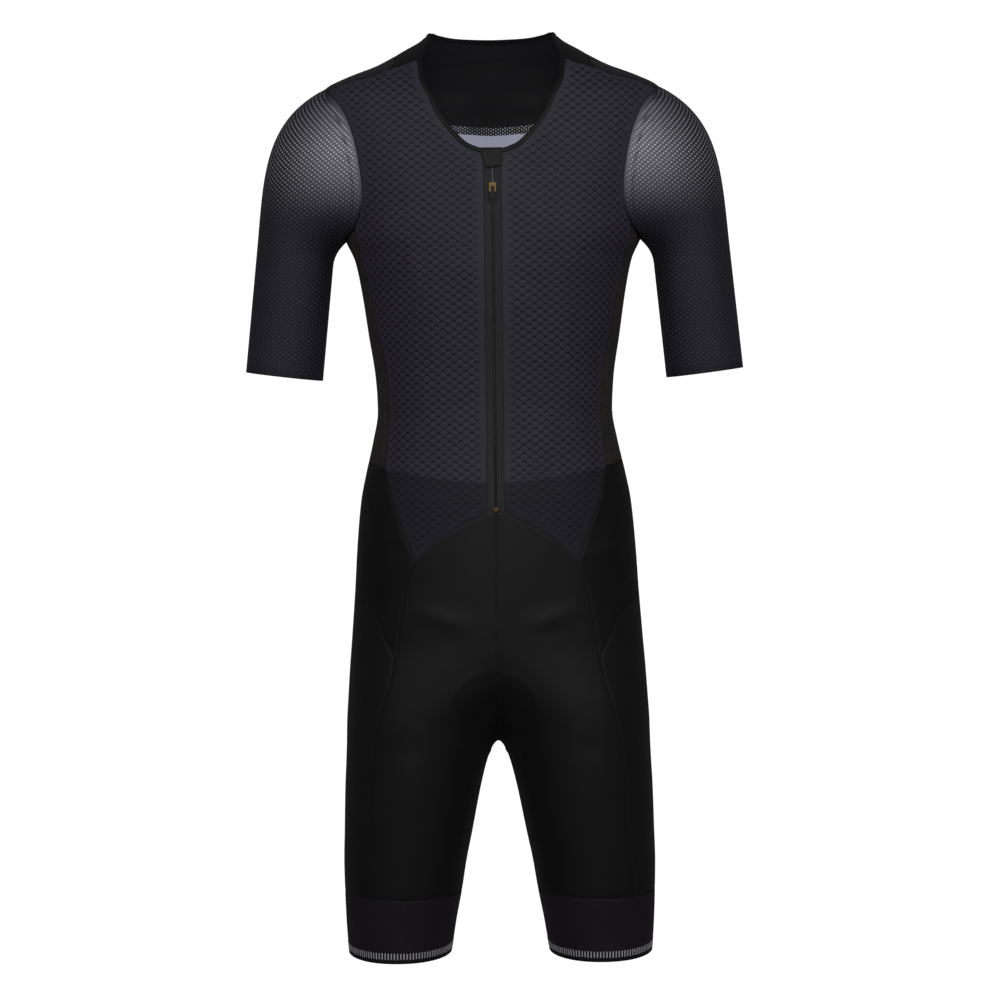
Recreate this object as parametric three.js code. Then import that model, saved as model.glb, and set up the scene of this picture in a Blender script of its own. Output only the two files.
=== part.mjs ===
// A short-sleeved one-piece triathlon suit, filled out as if worn, with nobody in it.
// Millimetres, +Z up. The wearer faces -Y and the wearer's left arm is at +X.
// The origin lies midway between the shoulders, where a wearer carries the suit.
import * as THREE from "three";

// Driving dimensions of the cloth and its seams.
const WALL = 1.3;             // cloth wall
const BAND_WALL = 1.6;        // leg gripper and neck binding
const SEAM_GAP = 0.3;         // between pieces at a seam
const BINDING_WIDTH = 5.5;    // folded binding round the neck
const BINDING_RISE = 0.3;     // its outer face over the cloth beside it
const MESH_BAND_HEIGHT = 8;   // open mesh strip under the back yoke
const ZIP_EDGE_X = 6.75;      // folded front edge, from the centre
const TAPE_EDGE_X = 1.6;      // zip tape edge beside the teeth
const ZIP_TOP_Z = -98.7;
const ZIP_BOTTOM_Z = -444;
const CROTCH_Z = -679;
const GRIPPER_SEAM_Z = -827;
const HEM_Z = -889;
const CENTRE_ROUNDING = 8;    // softens the fold where the two legs part

const rad = (degrees) => (degrees * Math.PI) / 180;
const signedPower = (value, power) => Math.sign(value) * Math.abs(value) ** power;
const mix = (a, b, t) => a + (b - a) * t;

// Places along an edge, edges end to end, and an edge run backwards.
const stations = (edge, count) => Array.from({ length: count + 1 }, (_, i) => edge(i / count));
const joined = (...parts) => parts.flatMap((part, i) => (i === 0 ? part : part.slice(1)));
const reversed = (part) => [...part].reverse();

// Smooth interpolation down one column of a table whose rows run from high to low.
function column(table, key, by = "z") {
  const xs = table.map((row) => row[by]);
  const ys = table.map((row) => row[key]);
  const count = xs.length;
  const slopes = ys.map((_, i) => {
    if (i === 0) return (ys[1] - ys[0]) / (xs[1] - xs[0]);
    if (i === count - 1) return (ys[i] - ys[i - 1]) / (xs[i] - xs[i - 1]);
    const before = (ys[i] - ys[i - 1]) / (xs[i] - xs[i - 1]);
    const after = (ys[i + 1] - ys[i]) / (xs[i + 1] - xs[i]);
    return before * after <= 0 ? 0 : (2 * before * after) / (before + after);
  });
  return (x) => {
    const rising = xs[count - 1] > xs[0];
    let i = 0;
    while (i < count - 2 && (rising ? x > xs[i + 1] : x < xs[i + 1])) i += 1;
    const span = xs[i + 1] - xs[i];
    const t = (x - xs[i]) / span;
    if (t <= 0) return ys[i] + slopes[i] * (x - xs[i]);
    if (t >= 1) return ys[i + 1] + slopes[i + 1] * (x - xs[i + 1]);
    const t2 = t * t;
    const t3 = t2 * t;
    return (
      (2 * t3 - 3 * t2 + 1) * ys[i] + (t3 - 2 * t2 + t) * span * slopes[i] +
      (3 * t2 - 2 * t3) * ys[i + 1] + (t3 - t2) * span * slopes[i + 1]
    );
  };
}

// One level ring of the filled-out body for each row, for the wearer's left half.
// outer: half width at the side. inner: the ring's other end, which is negative where
// both halves join and is the inside of the leg below the crotch. front and back: the
// ring's furthest points along Y. squareness: 2 is an ellipse, more is boxier.
const BODY = [
  { z: 30, outer: 56, inner: -56, front: -36, back: 55, squareness: 2.3 },
  { z: 24, outer: 64.5, inner: -64.5, front: -42, back: 59, squareness: 2.3 },
  { z: 16, outer: 77, inner: -77, front: -48, back: 65, squareness: 2.3 },
  { z: 8, outer: 92.5, inner: -92.5, front: -54, back: 70, squareness: 2.35 },
  { z: 0, outer: 107, inner: -107, front: -60, back: 76, squareness: 2.4 },
  { z: -8, outer: 124, inner: -124, front: -66, back: 80, squareness: 2.4 },
  { z: -18, outer: 151, inner: -151, front: -72, back: 84, squareness: 2.4 },
  { z: -28, outer: 168, inner: -168, front: -78, back: 88, squareness: 2.4 },
  { z: -38, outer: 172.5, inner: -172.5, front: -84, back: 91, squareness: 2.4 },
  { z: -58, outer: 171, inner: -171, front: -93, back: 97, squareness: 2.4 },
  { z: -98, outer: 163, inner: -163, front: -105, back: 104, squareness: 2.4 },
  { z: -138, outer: 155, inner: -155, front: -111, back: 107, squareness: 2.4 },
  { z: -177, outer: 147, inner: -147, front: -113, back: 107, squareness: 2.4 },
  { z: -200, outer: 137, inner: -137, front: -113, back: 106, squareness: 2.35 },
  { z: -229, outer: 131, inner: -131, front: -111, back: 103, squareness: 2.3 },
  { z: -273, outer: 124.5, inner: -124.5, front: -106, back: 97, squareness: 2.3 },
  { z: -318, outer: 118, inner: -118, front: -101, back: 91, squareness: 2.3 },
  { z: -348, outer: 116.5, inner: -116.5, front: -99, back: 89, squareness: 2.3 },
  { z: -378, outer: 121.5, inner: -121.5, front: -99, back: 91, squareness: 2.3 },
  { z: -408, outer: 128.5, inner: -128.5, front: -100, back: 98, squareness: 2.3 },
  { z: -438, outer: 134.5, inner: -134.5, front: -101, back: 106, squareness: 2.3 },
  { z: -483, outer: 139, inner: -139, front: -101, back: 116, squareness: 2.3 },
  { z: -528, outer: 142, inner: -140, front: -100, back: 121, squareness: 2.3 },
  { z: -573, outer: 144.5, inner: -120, front: -98, back: 121, squareness: 2.25 },
  { z: -603, outer: 147, inner: -72, front: -96, back: 118, squareness: 2.2 },
  { z: -633, outer: 149, inner: -24, front: -94, back: 112, squareness: 2.15 },
  { z: -658, outer: 150.5, inner: 0, front: -92, back: 106, squareness: 2.1 },
  { z: -679, outer: 151, inner: 8, front: -90, back: 101, squareness: 2.1 },
  { z: -693, outer: 151.5, inner: 12.6, front: -89, back: 98, squareness: 2.1 },
  { z: -723, outer: 153, inner: 19.5, front: -86, back: 93, squareness: 2.1 },
  { z: -768, outer: 154, inner: 28.5, front: -80, back: 85, squareness: 2.1 },
  { z: -798, outer: 154.5, inner: 34.8, front: -75, back: 80, squareness: 2.1 },
  { z: -828, outer: 153.5, inner: 39.8, front: -70, back: 75, squareness: 2.1 },
  { z: -858, outer: 152, inner: 46, front: -64, back: 71, squareness: 2.1 },
  { z: -890, outer: 149.5, inner: 51, front: -59, back: 67, squareness: 2.1 },
];
const bodyOuter = column(BODY, "outer");
const bodyInner = column(BODY, "inner");
const bodyFront = column(BODY, "front");
const bodyBack = column(BODY, "back");
const bodySquareness = column(BODY, "squareness");

function ringAt(z) {
  const outer = bodyOuter(z);
  const inner = bodyInner(z);
  const front = bodyFront(z);
  const back = bodyBack(z);
  return {
    centreX: (outer + inner) / 2,
    halfWidth: (outer - inner) / 2,
    centreY: (front + back) / 2,
    halfDepth: (back - front) / 2,
    squareness: bodySquareness(z),
  };
}

// Largest soft folds of the cloth: height over the surface, centre, half sizes, slant.
// turn is the angle round the body in degrees, as in bodyPoint.
const FOLDS = [
  { side: 0, turn: -72, z: -548, wide: 26, tall: 9, slant: 0.5, height: 1.6 },
  { side: 0, turn: -30, z: -338, wide: 30, tall: 8, slant: -0.3, height: 1.4 },
  { side: 0, turn: 30, z: -352, wide: 30, tall: 9, slant: 0.3, height: 1.8 },
  { side: 0, turn: 64, z: -330, wide: 34, tall: 10, slant: 0.2, height: 2.0 },
  { side: 0, turn: 60, z: -372, wide: 36, tall: 10, slant: -0.2, height: 2.2 },
  { side: 0, turn: 120, z: -640, wide: 26, tall: 11, slant: 0.7, height: 2.4 },
  { side: 1, turn: -40, z: -484, wide: 28, tall: 8, slant: 0.1, height: 1.6 },
];

function foldHeight(turn, z, halfWidth, side) {
  return FOLDS.reduce((sum, fold) => {
    if (fold.side !== 0 && fold.side !== side) return sum;
    const across = (rad(turn - fold.turn) * halfWidth) / fold.wide;
    const along = (z - fold.z - fold.slant * across * fold.wide * 0.5) / fold.tall;
    return sum + fold.height * Math.exp(-across * across - along * along);
  }, 0);
}

// A point of the body for the left half. turn is the angle round the ring in degrees:
// 0 at the side, -90 at the front, 90 at the back, 180 on the inside of the leg.
function bodyPoint(turn, z, side = 1) {
  const ring = ringAt(z);
  const cos = Math.cos(rad(turn));
  const sin = Math.sin(rad(turn));
  const across = ring.centreX + ring.halfWidth * signedPower(cos, 2 / ring.squareness);
  const y = ring.centreY + ring.halfDepth * signedPower(sin, 2 / ring.squareness);
  const x = Math.sqrt(Math.max(across * across - CENTRE_ROUNDING ** 2, 0));
  const point = new THREE.Vector3(x, y, z);
  const lift = foldHeight(turn, z, ring.halfWidth, side);
  return point.addScaledVector(bodyNormal(point), lift);
}

// How far outside the body's ring a place lies: 0 on the surface.
function bodyField(x, y, z) {
  const ring = ringAt(z);
  const across = Math.sqrt(x * x + CENTRE_ROUNDING ** 2);
  const alongX = Math.abs((across - ring.centreX) / ring.halfWidth) ** ring.squareness;
  const alongY = Math.abs((y - ring.centreY) / ring.halfDepth) ** ring.squareness;
  return alongX + alongY;
}

function bodyNormal(point) {
  const step = 0.5;
  const { x, y, z } = point;
  return new THREE.Vector3(
    bodyField(x + step, y, z) - bodyField(x - step, y, z),
    bodyField(x, y + step, z) - bodyField(x, y - step, z),
    bodyField(x, y, z + step) - bodyField(x, y, z - step),
  ).normalize();
}

// The angle of a place on the ring at height z whose distance from the centre is x.
function turnAt(x, z) {
  const ring = ringAt(z);
  const across = Math.sqrt(x * x + CENTRE_ROUNDING ** 2);
  const reach = (across - ring.centreX) / ring.halfWidth;
  const cos = signedPower(THREE.MathUtils.clamp(reach, -1, 1), ring.squareness / 2);
  return THREE.MathUtils.radToDeg(Math.acos(cos));
}

// The angle of the centre seam, or of the inside of the leg below the crotch.
const centreTurn = (z) => (z > CROTCH_Z ? turnAt(0, z) : 180);

// A curve through table rows, by rows' own spacing. Each row is a seam station.
function seam(rows) {
  const last = rows.length - 1;
  const stations = rows.map((row, i) => ({ ...row, at: i / last }));
  const turn = column(stations, "turn", "at");
  const z = column(stations, "z", "at");
  return (t) => [turn(t), z(t)];
}

// Armhole: a loop cut through the body's side. The angle is 0 at the shoulder top,
// positive towards the front and 180 in the armpit.
const ARMHOLE = { top: -20.5, bottom: -177, front: 39.5, back: 36.5, squareness: 2.6 };
function armhole(angle) {
  const middle = (ARMHOLE.top + ARMHOLE.bottom) / 2;
  const half = (ARMHOLE.top - ARMHOLE.bottom) / 2;
  const power = 2 / ARMHOLE.squareness;
  const cos = signedPower(Math.cos(rad(angle)), power);
  const sin = signedPower(Math.sin(rad(angle)), power);
  const reach = sin > 0 ? ARMHOLE.front : ARMHOLE.back;
  return [-reach * sin, middle + half * cos];
}
// Armhole angles where other seams meet it.
const AT_FRONT_YOKE = 31.5;
const AT_SHOULDER_SEAM = -18;
const AT_MESH_BAND = -27;
const AT_SIDE_FRONT = 143.6;
const AT_SIDE_BACK = -143.6;
const armholePart = (from, to) => (t) => armhole(mix(from, to, t));

const frontPlace = (x, z) => ({ turn: -turnAt(x, z), z });

// Neckline edge of the front panel and shoulder, from the zip garage to the ridge.
const NECKLINE = [
  { x: ZIP_EDGE_X, z: ZIP_TOP_Z }, { x: 12.6, z: -98 }, { x: 24.9, z: -93 },
  { x: 42.2, z: -77 }, { x: 54.8, z: -59 }, { x: 64, z: -38 }, { x: 71.5, z: -14 },
  { x: 73.5, z: -5 },
];
const necklineFront = seam(NECKLINE.map((row) => frontPlace(row.x, row.z)));
// Over the shoulder: from the front yoke seam to the shoulder seam behind the ridge.
const SHOULDER_SEAM_TURN = 15;
const YOKE_CORNER_Z = -5;
const DIVIDER_X = 101;
const necklineShoulder = seam([
  frontPlace(73.5, YOKE_CORNER_Z), { turn: -44, z: 7 }, { turn: -26, z: 16.5 },
  { turn: -8, z: 22 }, { turn: SHOULDER_SEAM_TURN, z: 24 },
]);
// Across the back of the neck, from the shoulder seam to the centre back.
const necklineBack = seam([
  { turn: SHOULDER_SEAM_TURN, z: 24 }, { turn: 36, z: 22.6 }, { turn: 60, z: 20.6 },
  { turn: 90, z: 19.6 },
]);

// Front yoke seam from the neckline to the armhole, split where the cloth changes.
const YOKE_DIVIDE_Z = -14.5;
const frontYokeInner = seam([
  frontPlace(73.5, YOKE_CORNER_Z), frontPlace(86, -10), frontPlace(DIVIDER_X, YOKE_DIVIDE_Z),
]);
const frontYokeEnd = armhole(AT_FRONT_YOKE);
const frontYokeOuter = seam([
  frontPlace(DIVIDER_X, YOKE_DIVIDE_Z), frontPlace(117, -21), frontPlace(137, -25),
  { turn: frontYokeEnd[0], z: frontYokeEnd[1] },
]);
// Shoulder seam, a line of one angle from the neck to the armhole.
const dividerBackZ = 2;
const shoulderSeamInner = seam([
  { turn: SHOULDER_SEAM_TURN, z: 24 }, { turn: SHOULDER_SEAM_TURN, z: dividerBackZ },
]);
const shoulderSeamEnd = armhole(AT_SHOULDER_SEAM);
const shoulderSeamOuter = seam([
  { turn: SHOULDER_SEAM_TURN, z: dividerBackZ },
  { turn: shoulderSeamEnd[0], z: shoulderSeamEnd[1] },
]);
const divider = seam([
  frontPlace(DIVIDER_X, YOKE_DIVIDE_Z), { turn: -30, z: -4 }, { turn: -8, z: 2.4 },
  { turn: SHOULDER_SEAM_TURN, z: dividerBackZ },
]);

// Lower edge of the back yoke, from the armhole to the centre back.
const yokeHem = seam([
  { turn: shoulderSeamEnd[0], z: shoulderSeamEnd[1] }, { turn: 30, z: -31 },
  { turn: 45, z: -36 }, { turn: 60, z: -41 }, { turn: 70, z: -47 }, { turn: 78, z: -55 },
  { turn: 84, z: -61 }, { turn: 90, z: -63 },
]);
const bandEnd = armhole(AT_MESH_BAND);
const backPanelTop = seam([
  { turn: bandEnd[0], z: bandEnd[1] }, { turn: 31, z: -38 }, { turn: 45, z: -44 },
  { turn: 60, z: -49 }, { turn: 70, z: -55 }, { turn: 78, z: -63 },
  { turn: 84, z: -69 }, { turn: 90, z: -63 - MESH_BAND_HEIGHT },
]);

// Side seam between the front panel and the side panel, then the hip panel.
const sideFrontStart = armhole(AT_SIDE_FRONT);
const WAIST_SIDE_Z = -402;
const ARCH_SIDE = { turn: -58.5, z: -494 };
const sideFrontUpper = seam([
  { turn: sideFrontStart[0], z: sideFrontStart[1] }, { turn: -22.5, z: -212 },
  { turn: -25, z: -259 }, { turn: -29, z: -306 }, { turn: -29.5, z: -354 },
  { turn: -33.5, z: WAIST_SIDE_Z },
]);
const sideFrontLower = seam([
  { turn: -33.5, z: WAIST_SIDE_Z }, { turn: -40.5, z: -424 }, { turn: -51, z: -461 }, ARCH_SIDE,
]);
// The same on the hidden back, from the armhole down to the waist.
const sideBackStart = armhole(AT_SIDE_BACK);
const sideBackUpper = seam([
  { turn: sideBackStart[0], z: sideBackStart[1] }, { turn: 27, z: -212 },
  { turn: 33, z: -259 }, { turn: 38, z: -306 }, { turn: 41, z: -354 },
  { turn: 43, z: WAIST_SIDE_Z },
]);
// Waist seams: the front arch, the side and the back.
const frontArch = seam([
  frontPlace(ZIP_EDGE_X, ZIP_BOTTOM_Z), frontPlace(16, -449), frontPlace(33, -457),
  frontPlace(54, -470), ARCH_SIDE,
]);
const sideWaist = seam([
  { turn: -33.5, z: WAIST_SIDE_Z }, { turn: 5, z: -398 }, { turn: 43, z: WAIST_SIDE_Z },
]);
const BACK_WAIST_Z = -388;
const backWaist = seam([
  { turn: 43, z: WAIST_SIDE_Z }, { turn: 66, z: -394 },
  { turn: centreTurn(BACK_WAIST_Z), z: BACK_WAIST_Z },
]);

// Curved seam under the hip panel, and the lines down the leg.
const HIP_FRONT = frontPlace(100.5, -588);
const HIP_BACK = { turn: 50, z: -508 };
const hipCurve = seam([
  HIP_FRONT, { turn: -45.5, z: -572 }, { turn: -34.7, z: -547 }, { turn: -18, z: -533 },
  { turn: 2, z: -525 }, { turn: 26, z: -516 }, HIP_BACK,
]);
const hipFront = seam([
  ARCH_SIDE, frontPlace(89, -523), frontPlace(95, -557), HIP_FRONT,
]);
const hipBack = seam([
  { turn: 43, z: WAIST_SIDE_Z }, { turn: 46, z: -455 }, HIP_BACK,
]);
const thighFront = seam([
  HIP_FRONT, frontPlace(109.5, -625), frontPlace(119.5, -665), frontPlace(125, -710),
  frontPlace(127.5, -755), frontPlace(131.5, -794), frontPlace(135.5, GRIPPER_SEAM_Z),
]);
const thighBack = seam([
  HIP_BACK, { turn: 54, z: -570 }, { turn: 60, z: -640 }, { turn: 62, z: -710 },
  { turn: 60, z: GRIPPER_SEAM_Z },
]);

// Centre seam of the shorts, then the inside of the leg. Stations crowd together
// towards the crotch, where the cloth turns under most sharply.
const CROTCH_ROWS = { above: 5, below: 6 };
const FRONT_HIP_Z = -560;
const BACK_HIP_Z = -528;
function centreStations(topZ, hipZ, hipRows, sign) {
  const levels = joined(
    stations((t) => mix(topZ, hipZ, t), hipRows),
    stations((t) => mix(hipZ, CROTCH_Z, Math.sin(rad(90 * t))), CROTCH_ROWS.above),
    stations((t) => mix(CROTCH_Z, GRIPPER_SEAM_Z, t ** 1.4), CROTCH_ROWS.below),
  );
  return levels.map((z) => [sign * centreTurn(z), z]);
}
const gripperSeam = (from, to) => (t) => [mix(from, to, t), GRIPPER_SEAM_Z];

// Front edge of the front panel: beside the zip, then out to the neckline corner.
const zipEdge = (t) => {
  const z = mix(ZIP_BOTTOM_Z, ZIP_TOP_Z, t);
  return [-turnAt(ZIP_EDGE_X, z), z];
};

// A patch between four edges. Every edge gives [turn, z]; bottom and top run the same
// way, and so do start and end. Seams are sampled at shared stations, so neighbours
// have the same straight runs.
function coons(bottom, top, start, end, columns, rows) {
  const grid = [];
  const corner = [bottom[0], bottom[columns], top[0], top[columns]];
  for (let j = 0; j <= rows; j += 1) {
    const v = j / rows;
    const line = [];
    for (let i = 0; i <= columns; i += 1) {
      const u = i / columns;
      line.push([0, 1].map((k) =>
        (1 - v) * bottom[i][k] + v * top[i][k] + (1 - u) * start[j][k] + u * end[j][k] -
        (1 - u) * (1 - v) * corner[0][k] - u * (1 - v) * corner[1][k] -
        (1 - u) * v * corner[2][k] - u * v * corner[3][k]));
    }
    grid.push(line);
  }
  return grid;
}

// Pulls the outer points of a grid in by half the seam gap, towards their neighbours.
function trimEdges(grid, gap, edges = { left: true, right: true, low: true, high: true }) {
  const rows = grid.length - 1;
  const columns = grid[0].length - 1;
  const pull = (from, to) => {
    const way = to.place.clone().sub(from.place);
    const length = way.length();
    if (length > 0) from.place.addScaledVector(way, Math.min(gap, length * 0.4) / length);
  };
  for (let j = 0; j <= rows; j += 1) {
    if (edges.left) pull(grid[j][0], grid[j][1]);
    if (edges.right) pull(grid[j][columns], grid[j][columns - 1]);
  }
  for (let i = 0; i <= columns; i += 1) {
    if (edges.low) pull(grid[0][i], grid[1][i]);
    if (edges.high) pull(grid[rows][i], grid[rows - 1][i]);
  }
  return grid;
}

// Turns a grid of {place, normal} into a closed wall. wrap joins its last column to
// its first. The wall lies between rise and rise - thickness along the normal.
function wallGeometry(grid, thickness, rise = 0, wrap = false) {
  const rows = grid.length;
  const columns = grid[0].length;
  const places = [];
  const layer = (offset) => {
    const base = places.length / 3;
    grid.forEach((line) => line.forEach(({ place, normal }) => {
      const at = place.clone().addScaledVector(normal, offset);
      places.push(at.x, at.y, at.z);
    }));
    return (j, i) => base + j * columns + (i % columns);
  };
  const outer = layer(rise);
  const inner = layer(rise - thickness);
  const faces = [];
  const quad = (a, b, c, d) => faces.push(a, b, c, a, c, d);
  const spans = wrap ? columns : columns - 1;
  for (let j = 0; j < rows - 1; j += 1) {
    for (let i = 0; i < spans; i += 1) {
      quad(outer(j, i), outer(j, i + 1), outer(j + 1, i + 1), outer(j + 1, i));
      quad(inner(j, i), inner(j + 1, i), inner(j + 1, i + 1), inner(j, i + 1));
    }
  }
  for (let i = 0; i < spans; i += 1) {
    quad(outer(0, i), inner(0, i), inner(0, i + 1), outer(0, i + 1));
    quad(outer(rows - 1, i), outer(rows - 1, i + 1), inner(rows - 1, i + 1), inner(rows - 1, i));
  }
  if (!wrap) {
    const end = columns - 1;
    for (let j = 0; j < rows - 1; j += 1) {
      quad(outer(j, 0), outer(j + 1, 0), inner(j + 1, 0), inner(j, 0));
      quad(outer(j, end), inner(j, end), inner(j + 1, end), outer(j + 1, end));
    }
  }
  const geometry = new THREE.BufferGeometry();
  geometry.setAttribute("position", new THREE.Float32BufferAttribute(places, 3));
  geometry.setIndex(faces);
  return orientOutward(geometry);
}

// Reverses every face where the closed mesh is inside out.
function orientOutward(geometry) {
  const place = geometry.getAttribute("position");
  const index = geometry.getIndex();
  const corner = [new THREE.Vector3(), new THREE.Vector3(), new THREE.Vector3()];
  let volume = 0;
  for (let i = 0; i < index.count; i += 3) {
    corner.forEach((point, k) => point.fromBufferAttribute(place, index.getX(i + k)));
    volume += corner[0].dot(corner[1].clone().cross(corner[2]));
  }
  if (volume < 0) {
    for (let i = 0; i < index.count; i += 3) {
      const second = index.getX(i + 1);
      index.setX(i + 1, index.getX(i + 2));
      index.setX(i + 2, second);
    }
  }
  geometry.computeVertexNormals();
  return geometry;
}

// Body grid in the wearer's left half, or mirrored to the right with side -1.
function bodyGrid(paths, side) {
  return paths.map((line) => line.map(([turn, z]) => {
    const place = bodyPoint(turn, z, side);
    const normal = bodyNormal(place);
    place.x *= side;
    normal.x *= side;
    return { place, normal };
  }));
}

// Body grid that crosses the centre back: turn 90 is the centre, more is the right half.
function backGrid(paths) {
  return paths.map((line) => line.map(([turn, z]) => {
    const side = turn > 90 ? -1 : 1;
    const place = bodyPoint(turn > 90 ? 180 - turn : turn, z, side);
    const normal = bodyNormal(place);
    place.x *= side;
    normal.x *= side;
    return { place, normal };
  }));
}
const mirroredBack = (part) => reversed(part).map(([turn, z]) => [180 - turn, z]);
const acrossBack = (part) => joined(part, mirroredBack(part));

const cloth = (name, color, roughness) =>
  new THREE.MeshStandardMaterial({ name, color, roughness, metalness: 0 });
const RELIEF_KNIT = cloth("relief_knit", 0x2b2932, 0.62);
const DOT_MESH = cloth("dot_mesh", 0x3c3b44, 0.7);
const SMOOTH_STRETCH = cloth("smooth_stretch", 0x131314, 0.5);
const RIBBED_STRETCH = cloth("ribbed_stretch", 0x26262b, 0.65);
const BACK_MESH = cloth("back_mesh", 0x8c90a4, 0.8);
const SIDE_MESH = cloth("side_mesh", 0x17171a, 0.75);
const GRIPPER_ELASTIC = cloth("gripper_elastic", 0x18151b, 0.6);
const PAD_FOAM = cloth("pad_foam", 0x202024, 0.9);
const ZIP_TAPE = cloth("zip_tape", 0x0f0f12, 0.55);
const ZIP_TEETH = new THREE.MeshStandardMaterial({
  name: "zip_teeth", color: 0x0a0a0c, roughness: 0.35, metalness: 0,
});
const BRASS = new THREE.MeshStandardMaterial({
  name: "brass", color: 0xa98f5c, roughness: 0.35, metalness: 1,
});
const BLACK_LACQUER = new THREE.MeshStandardMaterial({
  name: "pull_metal", color: 0x101012, roughness: 0.3, metalness: 0,
});

const suit = new THREE.Group();
const add = (name, geometry, material) => {
  const mesh = new THREE.Mesh(geometry, material);
  mesh.name = name;
  suit.add(mesh);
  return mesh;
};

const SIDES = [
  { label: "L", sign: 1 },
  { label: "R", sign: -1 },
];
const HALF_GAP = SEAM_GAP / 2;

// Mesh stations along each seam.
const COUNT = {
  yokeInner: 3, yokeOuter: 4, zip: 15, neck: 7, armFront: 8, armBack: 8, sideUpper: 10,
  sideLower: 4, sideAcross: 4, overShoulder: 4, backHalf: 7, hipDown: 3,
  thighDown: CROTCH_ROWS.above + CROTCH_ROWS.below,
  thighAcross: 5, archAcross: 7, gripperFront: 8, gripperBack: 7,
};
const edge = {
  zip: stations(zipEdge, COUNT.zip),
  neckFront: stations(necklineFront, COUNT.neck),
  neckShoulder: stations(necklineShoulder, COUNT.overShoulder),
  neckBack: stations(necklineBack, COUNT.backHalf),
  yokeInner: stations(frontYokeInner, COUNT.yokeInner),
  yokeOuter: stations(frontYokeOuter, COUNT.yokeOuter),
  armFront: stations(armholePart(AT_FRONT_YOKE, AT_SIDE_FRONT), COUNT.armFront),
  armTop: stations(armholePart(AT_FRONT_YOKE, AT_SHOULDER_SEAM), COUNT.overShoulder),
  armBand: stations(armholePart(AT_SHOULDER_SEAM, AT_MESH_BAND), 1),
  armBack: stations(armholePart(AT_MESH_BAND, AT_SIDE_BACK), COUNT.armBack),
  armBottom: stations(armholePart(AT_SIDE_FRONT, 360 + AT_SIDE_BACK), COUNT.sideAcross),
  shoulderInner: stations(shoulderSeamInner, COUNT.yokeInner),
  shoulderOuter: stations(shoulderSeamOuter, COUNT.yokeOuter),
  divider: stations(divider, COUNT.overShoulder),
  yokeHem: stations(yokeHem, COUNT.backHalf),
  backTop: stations(backPanelTop, COUNT.backHalf),
  sideFrontUpper: stations(sideFrontUpper, COUNT.sideUpper),
  sideFrontLower: stations(sideFrontLower, COUNT.sideLower),
  sideBackUpper: stations(sideBackUpper, COUNT.sideUpper),
  arch: stations(frontArch, COUNT.archAcross),
  sideWaist: stations(sideWaist, COUNT.sideAcross),
  backWaist: stations(backWaist, COUNT.backHalf),
  hipFront: stations(hipFront, COUNT.hipDown),
  hipBack: stations(hipBack, COUNT.sideLower + COUNT.hipDown),
  thighFront: stations(thighFront, COUNT.thighDown),
  thighBack: stations(thighBack, COUNT.thighDown),
};

function frontPanel(side) {
  const start = joined(edge.zip, edge.neckFront);
  const end = joined(
    reversed(edge.sideFrontLower), reversed(edge.sideFrontUpper), reversed(edge.armFront));
  const top = joined(edge.yokeInner, edge.yokeOuter);
  const paths = coons(edge.arch, top, start, end, COUNT.archAcross, start.length - 1);
  return wallGeometry(trimEdges(bodyGrid(paths, side), HALF_GAP), WALL);
}

function shoulderInner(side) {
  const paths = coons(edge.yokeInner, edge.shoulderInner, edge.neckShoulder, edge.divider,
    COUNT.yokeInner, COUNT.overShoulder);
  return wallGeometry(trimEdges(bodyGrid(paths, side), HALF_GAP), WALL);
}

function shoulderOuter(side) {
  const paths = coons(edge.yokeOuter, edge.shoulderOuter, edge.divider, edge.armTop,
    COUNT.yokeOuter, COUNT.overShoulder);
  return wallGeometry(trimEdges(bodyGrid(paths, side), HALF_GAP), WALL);
}

function backYoke() {
  const left = reversed(joined(edge.shoulderInner, edge.shoulderOuter));
  const right = left.map(([turn, z]) => [180 - turn, z]);
  const paths = coons(acrossBack(edge.yokeHem), acrossBack(edge.neckBack), left, right,
    2 * COUNT.backHalf, left.length - 1);
  return wallGeometry(trimEdges(backGrid(paths), HALF_GAP), WALL);
}

function backMeshBand() {
  const left = reversed(edge.armBand);
  const right = left.map(([turn, z]) => [180 - turn, z]);
  const paths = coons(acrossBack(edge.backTop), acrossBack(edge.yokeHem), left, right,
    2 * COUNT.backHalf, 1);
  return wallGeometry(trimEdges(backGrid(paths), HALF_GAP), WALL);
}

function backPanel() {
  const left = reversed(joined(edge.armBack, edge.sideBackUpper));
  const right = left.map(([turn, z]) => [180 - turn, z]);
  const paths = coons(acrossBack(edge.backWaist), acrossBack(edge.backTop), left, right,
    2 * COUNT.backHalf, left.length - 1);
  return wallGeometry(trimEdges(backGrid(paths), HALF_GAP), WALL);
}

function sidePanel(side) {
  const paths = coons(edge.sideWaist, edge.armBottom, reversed(edge.sideFrontUpper),
    reversed(edge.sideBackUpper), COUNT.sideAcross, COUNT.sideUpper);
  return wallGeometry(trimEdges(bodyGrid(paths, side), HALF_GAP), WALL);
}

function hipPanel(side) {
  const front = joined(edge.sideFrontLower, edge.hipFront);
  const low = stations(hipCurve, COUNT.thighAcross);
  const high = stations(sideWaist, COUNT.thighAcross);
  const paths = coons(low, high, reversed(front), reversed(edge.hipBack),
    COUNT.thighAcross, front.length - 1);
  return wallGeometry(trimEdges(bodyGrid(paths, side), HALF_GAP), WALL);
}

function sideThigh(side) {
  const low = stations(gripperSeam(edge.thighFront.at(-1)[0], edge.thighBack.at(-1)[0]),
    COUNT.thighAcross);
  const high = stations(hipCurve, COUNT.thighAcross);
  const paths = coons(low, high, reversed(edge.thighFront), reversed(edge.thighBack),
    COUNT.thighAcross, COUNT.thighDown);
  return wallGeometry(trimEdges(bodyGrid(paths, side), HALF_GAP), WALL);
}

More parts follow.
